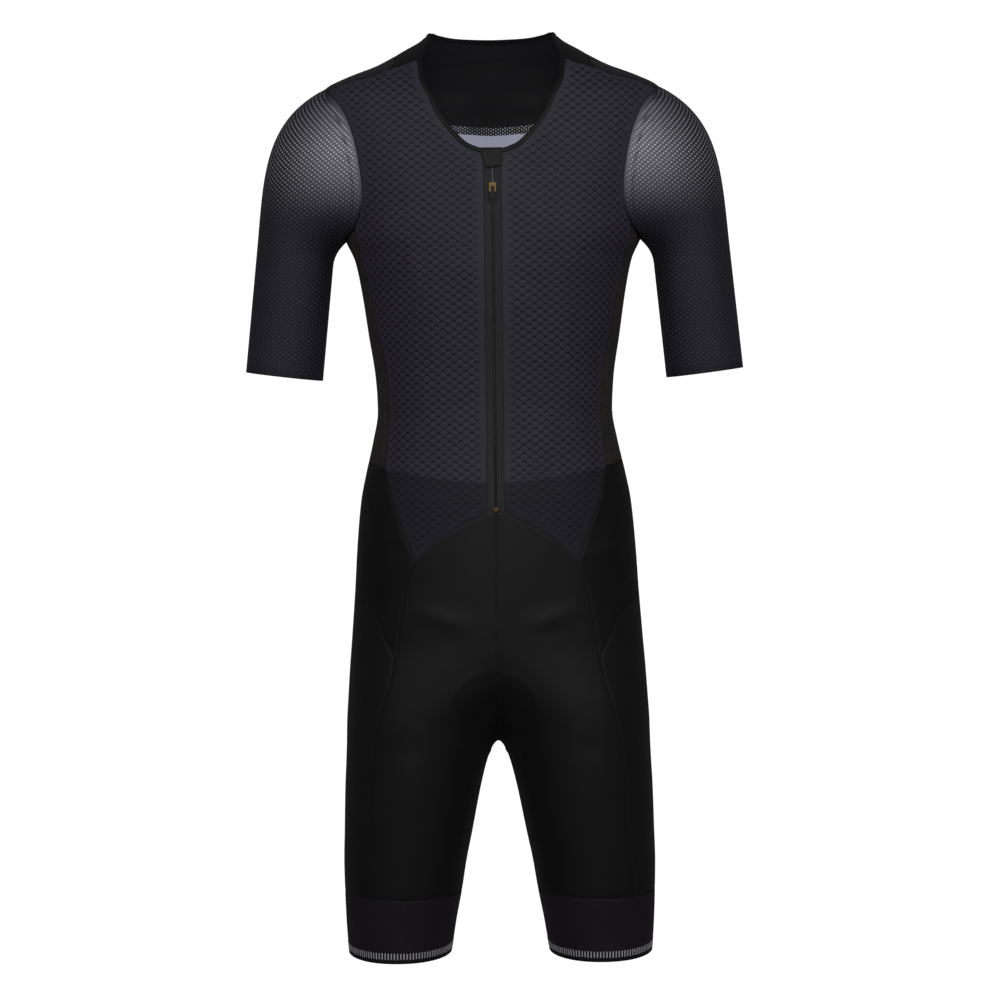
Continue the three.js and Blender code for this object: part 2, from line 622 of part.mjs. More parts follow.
function shortsFront(side) {
  const outer = joined(edge.hipFront, edge.thighFront);
  const count = outer.length - 1;
  const centre = centreStations(ZIP_BOTTOM_Z, FRONT_HIP_Z, COUNT.hipDown, -1);
  const low = stations(gripperSeam(-180, edge.thighFront.at(-1)[0]), COUNT.gripperFront);
  const high = joined([centre[0]], [centre[0], ...edge.arch]);
  const paths = coons(low, high, reversed(centre), reversed(outer),
    COUNT.gripperFront, count);
  return wallGeometry(trimEdges(bodyGrid(paths, side), HALF_GAP), WALL);
}

function shortsBack(side) {
  const outer = joined(edge.hipBack, edge.thighBack);
  const count = outer.length - 1;
  const centre = centreStations(BACK_WAIST_Z, BACK_HIP_Z, COUNT.sideLower + COUNT.hipDown, 1);
  const low = stations(gripperSeam(180, edge.thighBack.at(-1)[0]), COUNT.gripperBack);
  const paths = coons(low, reversed(edge.backWaist), reversed(centre), reversed(outer),
    COUNT.gripperBack, count);
  return wallGeometry(trimEdges(bodyGrid(paths, side), HALF_GAP), WALL);
}

// Elastic band round the bottom of the leg, on the gripper seam's own stations. Its hem
// is lower in front and higher behind.
const BAND_ROWS = 3;
const HEM_FRONT_DROP = 3;
function legBand(side) {
  const around = joined(
    stations(gripperSeam(-180, edge.thighFront.at(-1)[0]), COUNT.gripperFront),
    stations(gripperSeam(edge.thighFront.at(-1)[0], edge.thighBack.at(-1)[0]),
      COUNT.thighAcross),
    stations(gripperSeam(edge.thighBack.at(-1)[0], 180), COUNT.gripperBack),
  ).slice(0, -1);
  const levels = stations((t) => mix(HEM_Z, GRIPPER_SEAM_Z, t), BAND_ROWS);
  const paths = levels.map((z) => around.map(([turn]) => {
    const low = (GRIPPER_SEAM_Z - z) / (GRIPPER_SEAM_Z - HEM_Z);
    return [turn, z + HEM_FRONT_DROP * low * Math.sin(rad(turn))];
  }));
  const grid = bodyGrid(paths, side);
  trimEdges(grid, HALF_GAP, { high: true });
  return wallGeometry(grid, BAND_WALL, 0, true);
}

// Sleeve: from the armhole loop through a ring round the upper arm to the cuff ring.
// Each ring has its centre, its half sizes and how many degrees its plane leans.
const BICEP = { x: 197, y: 6, z: -196, halfWidth: 38.5, halfDepth: 50, lean: 12 };
const CUFF = { x: 208.5, y: 8, z: -313, halfWidth: 38, halfDepth: 45, lean: 7 };
const SLEEVE_ROWS = 12;
const CAP_SHARE = 0.56;       // of the sleeve's rows, above the upper-arm ring
const ARM_SQUARENESS = 2.15;
// How the cap leaves the armhole, in the armpit and at the shoulder top: its downward
// slope for each millimetre outward, and its handles as shares of the cap's length.
const CAP = {
  armpit: { slope: -1.4, handle: 0.16 }, top: { slope: -0.24, handle: 0.44 }, endHandle: 0.42,
};

// A ring across the arm. angle is the armhole's: 0 at the outside of the arm, since the
// shoulder top runs down to it, 90 at the front and 180 against the body.
function armRing(ring, angle) {
  const power = 2 / ARM_SQUARENESS;
  const across = ring.halfWidth * signedPower(Math.cos(rad(angle)), power);
  const y = ring.y - ring.halfDepth * signedPower(Math.sin(rad(angle)), power);
  const lean = rad(ring.lean);
  return new THREE.Vector3(ring.x + across * Math.cos(lean), y, ring.z + across * Math.sin(lean));
}

function sleevePoint(angle, t) {
  const [turn, z] = armhole(angle);
  const from = bodyPoint(turn, z);
  const bicep = armRing(BICEP, angle);
  const cuff = armRing(CUFF, angle);
  if (t > CAP_SHARE) {
    return bicep.lerp(cuff, (t - CAP_SHARE) / (1 - CAP_SHARE));
  }
  const down = cuff.clone().sub(bicep).normalize();
  const outness = (Math.cos(rad(angle)) + 1) / 2;
  const slope = mix(CAP.armpit.slope, CAP.top.slope, outness);
  const leave = new THREE.Vector3(1, 0, slope).normalize();
  const reach = from.distanceTo(bicep);
  const handle = reach * mix(CAP.armpit.handle, CAP.top.handle, outness);
  const curve = new THREE.CubicBezierCurve3(
    from,
    from.clone().addScaledVector(leave, handle),
    bicep.clone().addScaledVector(down, -reach * CAP.endHandle),
    bicep,
  );
  return curve.getPoint(t / CAP_SHARE);
}

function sleeve(side) {
  const angles = joined(
    stations((t) => mix(AT_FRONT_YOKE, AT_SHOULDER_SEAM, t), COUNT.overShoulder),
    [AT_SHOULDER_SEAM, AT_MESH_BAND],
    stations((t) => mix(AT_MESH_BAND, AT_SIDE_BACK, t), COUNT.armBack),
    stations((t) => mix(AT_SIDE_BACK, AT_SIDE_FRONT - 360, t), COUNT.sideAcross),
    stations((t) => mix(AT_SIDE_FRONT, AT_FRONT_YOKE, t), COUNT.armFront),
  ).slice(0, -1);
  const grid = stations((t) => t, SLEEVE_ROWS).map((t) => angles.map((angle) => {
    const step = 0.01;
    const place = sleevePoint(angle, t);
    const round = sleevePoint(angle + 1, t).sub(sleevePoint(angle - 1, t));
    const down = sleevePoint(angle, Math.min(t + step, 1)).sub(
      sleevePoint(angle, Math.max(t - step, 0)));
    let normal = round.clone().cross(down).normalize();
    if (t === 0) {
      normal = bodyNormal(place);
      const intoArmhole = normal.clone().cross(round).normalize();
      place.addScaledVector(intoArmhole, SEAM_GAP);
    }
    place.x *= side;
    normal.x *= side;
    return { place, normal };
  }));
  return wallGeometry(grid, WALL, 0, true);
}

// Neck binding: a narrow strip from the panels' neck edge towards the opening.
function neckBinding() {
  const left = joined(edge.neckFront, edge.neckShoulder, edge.neckBack);
  const line = (side) => left.map(([turn, z]) => {
    const place = bodyPoint(turn, z);
    const normal = bodyNormal(place);
    place.x *= side;
    normal.x *= side;
    return { place, normal };
  });
  const loop = joined(line(1), reversed(line(-1)));
  const outer = loop.map(({ place, normal }, i) => {
    const before = loop[Math.max(i - 1, 0)].place;
    const after = loop[Math.min(i + 1, loop.length - 1)].place;
    const along = after.clone().sub(before).normalize();
    const inward = normal.clone().cross(along).normalize();
    return { place, normal, inward };
  });
  const row = (distance) => outer.map(({ place, normal, inward }) => ({
    place: place.clone().addScaledVector(inward, distance), normal }));
  return wallGeometry([row(HALF_GAP), row(BINDING_WIDTH)], BAND_WALL, BINDING_RISE);
}

// A strip of the front beside the centre, between two distances from it.
function frontStrip(xNear, xFar, lowZ, highZ, count, thickness, rise) {
  const grid = stations((t) => mix(lowZ, highZ, t), count).map((z) =>
    [xNear, xFar].map((x) => {
      const place = bodyPoint(-turnAt(Math.abs(x), z), z);
      const normal = bodyNormal(place);
      place.x *= Math.sign(x);
      normal.x *= Math.sign(x);
      return { place, normal };
    }));
  return wallGeometry(grid, thickness, rise);
}

const ZIP_CLOSED_TOP_Z = -128;
const TEETH = { clearOfStop: 5, clearOfSlider: 9.5, thickness: 1.8, rise: 0.4 };
function zipTape(side) {
  return frontStrip(side * TAPE_EDGE_X, side * (ZIP_EDGE_X - HALF_GAP),
    ZIP_BOTTOM_Z + HALF_GAP, ZIP_TOP_Z - SEAM_GAP, COUNT.zip, WALL, 0);
}
function zipTeeth() {
  const half = TAPE_EDGE_X - SEAM_GAP;
  return frontStrip(-half, half, ZIP_BOTTOM_Z + TEETH.clearOfStop,
    ZIP_CLOSED_TOP_Z - TEETH.clearOfSlider, COUNT.zip - 2, TEETH.thickness, TEETH.rise);
}

// Small pieces on the zip are set square to the cloth at their height.
function onZip(z, lift) {
  const place = bodyPoint(-centreTurn(z), z);
  const normal = bodyNormal(place);
  const up = new THREE.Vector3(1, 0, 0).cross(normal).multiplyScalar(-1).normalize();
  const basis = new THREE.Matrix4().makeBasis(new THREE.Vector3(1, 0, 0), up, normal);
  return { place: place.addScaledVector(normal, lift), basis, up };
}

function roundedPlate({ width, length, thickness, corner }, hole) {
  const shape = new THREE.Shape();
  const x = width / 2;
  const y = length / 2;
  shape.moveTo(-x + corner, -y);
  shape.lineTo(x - corner, -y);
  shape.absarc(x - corner, -y + corner, corner, -Math.PI / 2, 0);
  shape.absarc(x - corner, y - corner, corner, 0, Math.PI / 2);
  shape.absarc(-x + corner, y - corner, corner, Math.PI / 2, Math.PI);
  shape.absarc(-x + corner, -y + corner, corner, Math.PI, 1.5 * Math.PI);
  if (hole) {
    const cut = new THREE.Path();
    cut.absarc(0, hole.y, hole.radius, 0, Math.PI * 2, true);
    shape.holes.push(cut);
  }
  const geometry = new THREE.ExtrudeGeometry(shape, {
    depth: thickness, bevelEnabled: false, curveSegments: 5,
  });
  return geometry.translate(0, 0, -thickness / 2);
}

// corner: rounding radius. lift: height of the plate's middle over the cloth. The pull's
// hole lies holeInset below its top end, close enough that the end swings clear.
const SLIDER = { width: 6.6, length: 9, thickness: 1.6, corner: 1.2, lift: 1.55 };
const PULL = {
  width: 3.4, length: 13, thickness: 0.9, corner: 1.0, lift: 3.6, holeRadius: 0.5, holeInset: 1.1,
};
const STOP = { width: 4.4, length: 4, thickness: 1.4, corner: 0.8, lift: 1.2, above: 2.4 };
function place(mesh, z, lift, along = 0) {
  const seat = onZip(z, lift);
  mesh.quaternion.setFromRotationMatrix(seat.basis);
  mesh.position.copy(seat.place).addScaledVector(seat.up, along);
  return mesh;
}

// Garage: a short tab of cloth over the top of the zip, between the neckline's ends.
const GARAGE = { left: 14.7, right: 4, top: -93.8, bottom: -110.5, rise: 2.2, wall: 1.3 };
function zipGarage() {
  const grid = stations((t) => mix(GARAGE.bottom, GARAGE.top, t), 2).map((z) =>
    stations((t) => mix(-GARAGE.left, GARAGE.right, t), 4).map((x) => {
      const spot = bodyPoint(-turnAt(Math.abs(x), z), z);
      const normal = bodyNormal(spot);
      spot.x *= Math.sign(x) || 1;
      normal.x *= Math.sign(x) || 1;
      return { place: spot, normal };
    }));
  return wallGeometry(grid, GARAGE.wall, GARAGE.rise);
}

// Seat pad: one sheet inside the shorts from the front, under the crotch, to the seat.
// It follows the centre seam and spreads to each side by its half width there.
const PAD = {
  wall: 4, clearance: 1.7, centreRelief: 5.6, centreWidth: 26, rows: 16, columns: 10,
  frontZ: -612, backZ: -560,
};
const PAD_SHAPE = [
  { at: 0, half: 16 }, { at: 0.08, half: 34 }, { at: 0.2, half: 44 }, { at: 0.36, half: 40 },
  { at: 0.5, half: 32 }, { at: 0.66, half: 46 }, { at: 0.84, half: 62 }, { at: 0.95, half: 52 },
  { at: 1, half: 30 },
];
const padHalf = column(PAD_SHAPE, "half", "at");
function seatPad() {
  const frontRun = CROTCH_Z - PAD.frontZ;
  const backRun = CROTCH_Z - PAD.backZ;
  const centre = (t) => {
    const front = t < 0.5;
    const along = front ? 1 - 2 * t : 2 * t - 1;
    const z = CROTCH_Z - (front ? frontRun : backRun) * along ** 1.6;
    return [(front ? -1 : 1) * centreTurn(z), z];
  };
  const half = (side) => stations(centre, PAD.rows).map(([turn, z], j) => {
    const t = j / PAD.rows;
    const before = centre(Math.max(t - 0.01, 0));
    const after = centre(Math.min(t + 0.01, 1));
    const arm = ringAt(z).halfDepth;
    const inside = (angle) => Math.sign(angle) * (180 - Math.abs(angle));
    const alongTurn = rad(inside(after[0]) - inside(before[0])) * arm;
    const alongZ = after[1] - before[1];
    const length = Math.hypot(alongTurn, alongZ) || 1;
    const outTurn = alongZ / length;
    const outZ = -alongTurn / length;
    return stations((u) => u * padHalf(t), PAD.columns / 2).map((distance) => {
      const from = inside(turn) + (THREE.MathUtils.radToDeg(1) * outTurn * distance) / arm;
      const angle = Math.sign(from || 1) * (180 - Math.abs(from));
      const spot = bodyPoint(angle, z + outZ * distance);
      const normal = bodyNormal(spot);
      const relief = PAD.centreRelief * (1 + t) * Math.exp(-((distance / PAD.centreWidth) ** 2));
      spot.addScaledVector(normal, -relief);
      spot.x *= side;
      normal.x *= side;
      return { place: spot, normal };
    });
  });
  const right = half(-1);
  const grid = half(1).map((line, j) => joined(reversed(right[j]), line));
  return wallGeometry(grid, PAD.wall, -WALL - PAD.clearance);
}

SIDES.forEach(({ label, sign }) => {
  add(`front_panel_${label}`, frontPanel(sign), RELIEF_KNIT);
  add(`shoulder_inner_${label}`, shoulderInner(sign), SMOOTH_STRETCH);
  add(`shoulder_outer_${label}`, shoulderOuter(sign), RIBBED_STRETCH);
  add(`side_panel_${label}`, sidePanel(sign), SIDE_MESH);
  add(`sleeve_${label}`, sleeve(sign), DOT_MESH);
  add(`hip_panel_${label}`, hipPanel(sign), SMOOTH_STRETCH);
  add(`side_thigh_${label}`, sideThigh(sign), SMOOTH_STRETCH);
  add(`shorts_front_${label}`, shortsFront(sign), SMOOTH_STRETCH);
  add(`shorts_back_${label}`, shortsBack(sign), SMOOTH_STRETCH);
  add(`leg_band_${label}`, legBand(sign), GRIPPER_ELASTIC);
  add(`zip_tape_${label}`, zipTape(sign), ZIP_TAPE);
});
add("back_yoke", backYoke(), SMOOTH_STRETCH);
add("back_mesh_band", backMeshBand(), SIDE_MESH);
add("back_panel", backPanel(), BACK_MESH);
add("neck_binding", neckBinding(), SMOOTH_STRETCH);
add("zip_teeth", zipTeeth(), ZIP_TEETH);
add("zip_garage", zipGarage(), SMOOTH_STRETCH);
add("seat_pad", seatPad(), PAD_FOAM);
const SLIDER_Z = ZIP_CLOSED_TOP_Z - SLIDER.length / 2;
const pullHoleY = PULL.length / 2 - PULL.holeInset;
place(add("zip_slider", roundedPlate(SLIDER), BRASS), SLIDER_Z, SLIDER.lift);
place(add("zip_bottom_stop", roundedPlate(STOP), BRASS), ZIP_BOTTOM_Z + STOP.above, STOP.lift);
place(
  add("zip_pull", roundedPlate(PULL, { y: pullHoleY, radius: PULL.holeRadius }), BLACK_LACQUER),
  SLIDER_Z, PULL.lift, -pullHoleY);

export default suit;
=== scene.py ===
"""A short-sleeved one-piece triathlon suit, filled out as if worn, with nobody in it.

The pieces follow in the order in which they are cut and sewn: front, shoulders, back,
sides, sleeves, shorts, leg bands, neck, zip, pad, then the seams. Lengths in tables are
in millimetres, as a pattern maker gives them, and MM turns them to metres.
"""

import math

import bpy
import mathutils
import numpy as np
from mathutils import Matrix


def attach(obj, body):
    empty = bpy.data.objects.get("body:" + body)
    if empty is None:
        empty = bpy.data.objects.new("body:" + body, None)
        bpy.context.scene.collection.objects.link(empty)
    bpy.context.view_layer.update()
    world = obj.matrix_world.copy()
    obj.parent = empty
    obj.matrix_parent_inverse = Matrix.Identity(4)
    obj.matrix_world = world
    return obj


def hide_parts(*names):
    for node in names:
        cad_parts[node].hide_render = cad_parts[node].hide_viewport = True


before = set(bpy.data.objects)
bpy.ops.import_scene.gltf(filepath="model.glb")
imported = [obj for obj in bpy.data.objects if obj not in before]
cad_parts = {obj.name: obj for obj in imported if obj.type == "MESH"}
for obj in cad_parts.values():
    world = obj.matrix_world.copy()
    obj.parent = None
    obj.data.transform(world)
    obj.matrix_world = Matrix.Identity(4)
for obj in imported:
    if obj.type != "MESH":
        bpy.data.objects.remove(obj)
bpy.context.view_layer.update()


# Front panels
# Two mirrored pieces of a warp-knitted cloth with a raised lattice of small diamonds,
# printed charcoal purple, stretched from the shoulder to the waist arch. The body that
# every piece of cloth lies on, and the way a panel is laid on it, are made here.
MM = 0.001

# Rings round the filled-out body for the left half: height, the side, the ring's other
# end (the inside of the leg below the crotch), front, back, squareness.
RINGS = (
    (30, 54, -54, -36, 55, 2.3),
    (24, 62.5, -62.5, -42, 59, 2.3),
    (16, 72, -72, -48, 65, 2.3),
    (8, 86, -86, -54, 70, 2.35),
    (0, 100, -100, -60, 76, 2.4),
    (-8, 115.5, -115.5, -66, 80, 2.4),
    (-18, 142, -142, -72, 84, 2.4),
    (-28, 163, -163, -78, 88, 2.4),
    (-38, 173, -173, -84, 91, 2.4),
    (-58, 171.5, -171.5, -93, 97, 2.4),
    (-98, 163, -163, -105, 104, 2.4),
    (-138, 155, -155, -111, 107, 2.4),
    (-177, 147, -147, -113, 107, 2.4),
    (-200, 137, -137, -113, 106, 2.35),
    (-229, 131, -131, -111, 103, 2.3),
    (-273, 124.5, -124.5, -106, 97, 2.3),
    (-318, 118, -118, -101, 91, 2.3),
    (-348, 116.5, -116.5, -99, 89, 2.3),
    (-378, 121.5, -121.5, -99, 91, 2.3),
    (-408, 128.5, -128.5, -100, 98, 2.3),
    (-438, 134.5, -134.5, -101, 106, 2.3),
    (-483, 139, -139, -101, 116, 2.3),
    (-528, 142, -140, -100, 121, 2.3),
    (-573, 145.5, -120, -98, 121, 2.25),
    (-603, 148, -72, -96, 118, 2.2),
    (-633, 150, -24, -94, 112, 2.15),
    (-658, 151.5, 0, -92, 106, 2.1),
    (-679, 152, 8, -90, 101, 2.1),
    (-693, 152.5, 12.6, -89, 98, 2.1),
    (-723, 154, 19.5, -86, 93, 2.1),
    (-768, 155.2, 28, -80, 85, 2.1),
    (-798, 156, 34, -75, 80, 2.1),
    (-828, 155.5, 38.8, -70, 75, 2.1),
    (-858, 154.5, 44.5, -64, 71, 2.1),
    (-890, 152.5, 49.5, -59, 67, 2.1),
)
CENTRE_ROUNDING = 8
CROTCH_Z = -679
HEM_Z = -889
GRIPPER_SEAM_Z = -827
ZIP_EDGE_X = 8.6
ZIP_TOP_Z = -98.7
ZIP_BOTTOM_Z = -444
WALL = 1.1


def curve_through(xs, ys):
    """Smooth curve through points whose xs all rise or all fall, straight past its ends."""
    xs, ys = np.asarray(xs, float), np.asarray(ys, float)
    if xs[0] > xs[-1]:
        xs, ys = xs[::-1], ys[::-1]
    chord = np.diff(ys) / np.diff(xs)
    slope = np.zeros_like(ys)
    slope[0], slope[-1] = chord[0], chord[-1]
    before, after = chord[:-1], chord[1:]
    turning = before * after > 0
    slope[1:-1][turning] = (2 * before * after)[turning] / (before + after)[turning]

    def at(x):
        x = np.asarray(x, float)
        i = np.clip(np.searchsorted(xs, x, side="right") - 1, 0, len(xs) - 2)
        span = xs[i + 1] - xs[i]
        t = np.clip((x - xs[i]) / span, 0, 1)
        inside = (
            (2 * t**3 - 3 * t**2 + 1) * ys[i] + (t**3 - 2 * t**2 + t) * span * slope[i]
            + (3 * t**2 - 2 * t**3) * ys[i + 1] + (t**3 - t**2) * span * slope[i + 1]
        )
        under, over = np.minimum(x - xs[i], 0), np.maximum(x - xs[i + 1], 0)
        return inside + under * slope[i] + over * slope[i + 1]

    return at


RING_Z, RING_OUTER, RING_INNER, RING_FRONT, RING_BACK, RING_SQUARENESS = zip(*RINGS)
ring_outer, ring_inner, ring_front, ring_back, ring_squareness = (
    curve_through(RING_Z, values)
    for values in (RING_OUTER, RING_INNER, RING_FRONT, RING_BACK, RING_SQUARENESS)
)


def signed_power(value, power):
    return np.sign(value) * np.abs(value) ** power


def ring_shape(z):
    """Centre across, half width, centre in depth, half depth and squareness at a height."""
    outer, inner, front, back = ring_outer(z), ring_inner(z), ring_front(z), ring_back(z)
    return (outer + inner) / 2, (outer - inner) / 2, (front + back) / 2, (back - front) / 2, \
        ring_squareness(z)


def body_field(x, y, z):
    """1 on the body's surface and more outside it."""
    centre_x, half_x, centre_y, half_y, power = ring_shape(z)
    across = np.sqrt(x * x + CENTRE_ROUNDING**2)
    sideways = np.abs((across - centre_x) / half_x) ** power
    return sideways + np.abs((y - centre_y) / half_y) ** power


def body_normal(place):
    x, y, z = place[..., 0], place[..., 1], place[..., 2]
    step = 0.5
    slope = np.stack([
        body_field(x + step, y, z) - body_field(x - step, y, z),
        body_field(x, y + step, z) - body_field(x, y - step, z),
        body_field(x, y, z + step) - body_field(x, y, z - step),
    ], axis=-1)
    return slope / np.linalg.norm(slope, axis=-1, keepdims=True)


# Soft folds: which side (0 is both, 1 left, -1 right), angle round the body, height,
# half width, half height, slant and how proud it stands. Troughs are negative.
FOLDS = (
    (0, -72, -548, 26, 9, 0.5, 1.6),
    (0, -30, -338, 30, 8, -0.3, 1.4),
    (0, 30, -352, 30, 9, 0.3, 1.8),
    (0, 64, -330, 34, 10, 0.2, 2.0),
    (0, 60, -372, 36, 10, -0.2, 2.2),
    (0, 120, -640, 26, 11, 0.7, 2.4),
    (1, -40, -484, 28, 8, 0.1, 1.6),
    (-1, -44, -470, 22, 6, -0.2, 0.8),
    (1, -34, -500, 20, 5, 0.2, -0.7),
    (-1, -20, -320, 18, 6, 0.4, 0.7),
    (1, 20, -366, 24, 6, 0.1, -0.9),
    (-1, 14, -332, 26, 7, -0.3, -0.8),
    (1, 76, -352, 22, 6, 0.1, -0.9),
    (-1, 72, -392, 28, 7, 0.3, -1.0),
    (1, 96, -612, 24, 7, 0.8, -0.9),
    (-1, 104, -660, 20, 6, 0.9, 0.9),
    (1, 70, -560, 30, 8, 0.5, 0.8),
    (-1, 62, -575, 26, 7, 0.6, 0.7),
    (1, 150, -720, 16, 8, 0.5, 0.6),
    (-1, 146, -752, 18, 7, 0.4, 0.5),
    (1, -60, -200, 12, 16, -0.6, 0.5),
    (-1, -58, -206, 10, 18, -0.5, 0.5),
)


def fold_height(turn, z, half_width, side):
    total = np.zeros(np.shape(turn))
    for fold_side, fold_turn, fold_z, wide, tall, slant, height in FOLDS:
        if fold_side in (0, side):
            across = np.radians(turn - fold_turn) * half_width / wide
            along = (z - fold_z - slant * across * wide * 0.5) / tall
            total = total + height * np.exp(-across**2 - along**2)
    return total


def body_point(turn, z, side=1):
    """Places and normals for the left half. turn is the angle round the body in degrees:
    0 at the side, -90 in front, 90 behind and 180 on the inside of the leg."""
    turn, z = np.broadcast_arrays(np.asarray(turn, float), np.asarray(z, float))
    centre_x, half_x, centre_y, half_y, power = ring_shape(z)
    across = centre_x + half_x * signed_power(np.cos(np.radians(turn)), 2 / power)
    y = centre_y + half_y * signed_power(np.sin(np.radians(turn)), 2 / power)
    x = np.sqrt(np.maximum(across**2 - CENTRE_ROUNDING**2, 0))
    place = np.stack([x, y, z], axis=-1)
    normal = body_normal(place)
    return place + normal * fold_height(turn, z, half_x, side)[..., None], normal


def turn_at(x, z):
    """Angle of a place on the ring at height z whose distance from the centre is x."""
    centre_x, half_x, _, _, power = ring_shape(z)
    reach = (np.sqrt(np.square(x) + CENTRE_ROUNDING**2) - centre_x) / half_x
    return np.degrees(np.arccos(signed_power(np.clip(reach, -1, 1), power / 2)))


def centre_turn(z):
    """Angle of the centre seam, or of the inside of the leg below the crotch."""
    return np.where(np.asarray(z) > CROTCH_Z, turn_at(0, z), 180.0)


def front_place(x, z):
    return float(-turn_at(x, z)), z


def seam(*rows):
    """An edge through (turn, height) rows. It gives the places at shares 0 to 1 along it."""
    at = np.linspace(0, 1, len(rows))
    turn, z = (curve_through(at, values) for values in zip(*rows))
    edge = lambda t: np.stack([turn(t), z(t)], axis=-1)
    edge.joints = ()
    return edge


def run_on(*parts):
    """Edges end to end, each with its share of the whole run."""
    shares = np.cumsum([0] + [share for _, share in parts]) / sum(share for _, share in parts)

    def edge(t):
        t = np.clip(np.asarray(t, float), 0, 1)
        out = np.empty(t.shape + (2,))
        for (part, _), low, high in zip(parts, shares[:-1], shares[1:]):
            here = (t >= low) & (t <= high)
            out[here] = part((t[here] - low) / (high - low))
        return out

    edge.joints = tuple(shares[1:-1])
    return edge


def backward(edge):
    turned = lambda t: edge(1 - np.asarray(t))
    turned.joints = tuple(1 - joint for joint in edge.joints)
    return turned


# The armhole is a loop cut through the body's side. Its angle is 0 at the shoulder top,
# positive towards the front and 180 in the armpit.
ARMHOLE_TOP, ARMHOLE_BOTTOM = -30, -177
ARMHOLE_FRONT, ARMHOLE_BACK, ARMHOLE_SQUARENESS = 39.5, 36.5, 3
AT_FRONT_YOKE, AT_SHOULDER_SEAM, AT_MESH_BAND = 24, -18, -27
AT_SIDE_FRONT, AT_SIDE_BACK = 143.6, -143.6


def armhole(angle):
    angle = np.radians(angle)
    cos = signed_power(np.cos(angle), 2 / ARMHOLE_SQUARENESS)
    sin = signed_power(np.sin(angle), 2 / ARMHOLE_SQUARENESS)
    middle, half = (ARMHOLE_TOP + ARMHOLE_BOTTOM) / 2, (ARMHOLE_TOP - ARMHOLE_BOTTOM) / 2
    reach = np.where(sin > 0, ARMHOLE_FRONT, ARMHOLE_BACK)
    return np.stack([-reach * sin, middle + half * cos], axis=-1)


def armhole_part(low, high):
    edge = lambda t: armhole(low + (high - low) * np.asarray(t))
    edge.joints = ()
    return edge


def zip_edge(t):
    z = ZIP_BOTTOM_Z + (ZIP_TOP_Z - ZIP_BOTTOM_Z) * np.asarray(t)
    return np.stack([-turn_at(ZIP_EDGE_X, z), z], axis=-1)


zip_edge.joints = ()
SHOULDER_TURN = 15
DIVIDER_X = 101
ARCH_SIDE = (-58.5, -494)
WAIST_SIDE_Z = -402
YOKE_CORNER = (72.2, -5)
neck_front = seam(*(front_place(x, z) for x, z in (
    (ZIP_EDGE_X, ZIP_TOP_Z), (12.6, -98), (24.9, -93), (41.5, -77), (54, -59), (63.6, -38),
    (70.4, -17), YOKE_CORNER)))
yoke_inner = seam(front_place(*YOKE_CORNER), front_place(86, -10), front_place(DIVIDER_X, -14.5))
yoke_outer = seam(front_place(DIVIDER_X, -14.5), front_place(117, -21), front_place(137, -25),
                  tuple(armhole(AT_FRONT_YOKE)))
side_front_upper = seam(tuple(armhole(AT_SIDE_FRONT)), (-22.5, -212), (-25, -259), (-29, -306),
                        (-29.5, -354), (-33.5, WAIST_SIDE_Z))
side_front_lower = seam((-33.5, WAIST_SIDE_Z), (-40.5, -424), (-51, -461), ARCH_SIDE)
front_arch = seam(front_place(ZIP_EDGE_X, ZIP_BOTTOM_Z), front_place(16, -449),
                  front_place(33, -457), front_place(54, -470), ARCH_SIDE)

# Mesh lines that follow a sewn edge, so that the cloth can dip into its seam.
NEAR_EDGE = np.array([0.7, 1.5, 2.6, 4.2])
SEAM_DIP, SEAM_DIP_WIDTH = 0.55, 1.7


def edge_length(edge):
    places, _ = body_point(*edge(np.linspace(0, 1, 80)).T)
    return np.linalg.norm(np.diff(places, axis=0), axis=1).sum()


def stations(edges, step):
    """Shares along two facing edges, close together near the ends, on their corners."""
    length = sum(edge_length(edge) for edge in edges) / len(edges)
    near = np.append(0, NEAR_EDGE / length)
    count = max(2, round(length * (1 - 2 * near[-1]) / step) + 1)
    shares = np.concatenate([near[:-1], np.linspace(near[-1], 1 - near[-1], count),
                             1 - near[:-1][::-1]])
    for joint in sorted({round(j, 6) for edge in edges for j in edge.joints}):
        shares[np.argmin(np.abs(shares - joint))] = joint
    return shares


def patch(low, high, start, end, step_across, step_up):
    """Places (turn, height) of a panel between four edges. low and high run the same way,
    and so do start and end."""
    u, v = stations((low, high), step_across), stations((start, end), step_up)
    across, up = u[None, :, None], v[:, None, None]
    corners = low(0.0), low(1.0), high(0.0), high(1.0)
    return (
        (1 - up) * low(u)[None] + up * high(u)[None]
        + (1 - across) * start(v)[:, None] + across * end(v)[:, None]
        - (1 - across) * (1 - up) * corners[0] - across * (1 - up) * corners[1]
        - (1 - across) * up * corners[2] - across * up * corners[3]
    )


def along(places, axis):
    """Distance run along a grid's lines, from each line's start."""
    steps = np.linalg.norm(np.diff(places, axis=axis), axis=-1)
    zero = np.zeros_like(steps[:1] if axis == 0 else steps[:, :1])
    return np.concatenate([zero, np.cumsum(steps, axis=axis)], axis=axis)


def edge_distance(places):
    """How far each place of a grid lies from the nearest of its four edges."""
    right, up = along(places, 1), along(places, 0)
    return np.minimum.reduce([right, right[:, -1:] - right, up, up[-1:] - up])


def seam_dip(distance):
    return -SEAM_DIP * np.exp(-((distance / SEAM_DIP_WIDTH) ** 2))


def girth(turn, z, start):
    """Length of cloth round the body from the angle start to turn, at a height."""
    share = np.linspace(0, 1, 40).reshape((-1,) + (1,) * np.ndim(turn))
    angles = start + (turn - start) * share
    centre_x, half_x, centre_y, half_y, power = ring_shape(z)
    across = centre_x + half_x * signed_power(np.cos(np.radians(angles)), 2 / power)
    x = np.sqrt(np.maximum(across**2 - CENTRE_ROUNDING**2, 0))
    y = centre_y + half_y * signed_power(np.sin(np.radians(angles)), 2 / power)
    length = np.hypot(np.diff(x, axis=0), np.diff(y, axis=0)).sum(axis=0)
    return length * np.sign(turn - start)


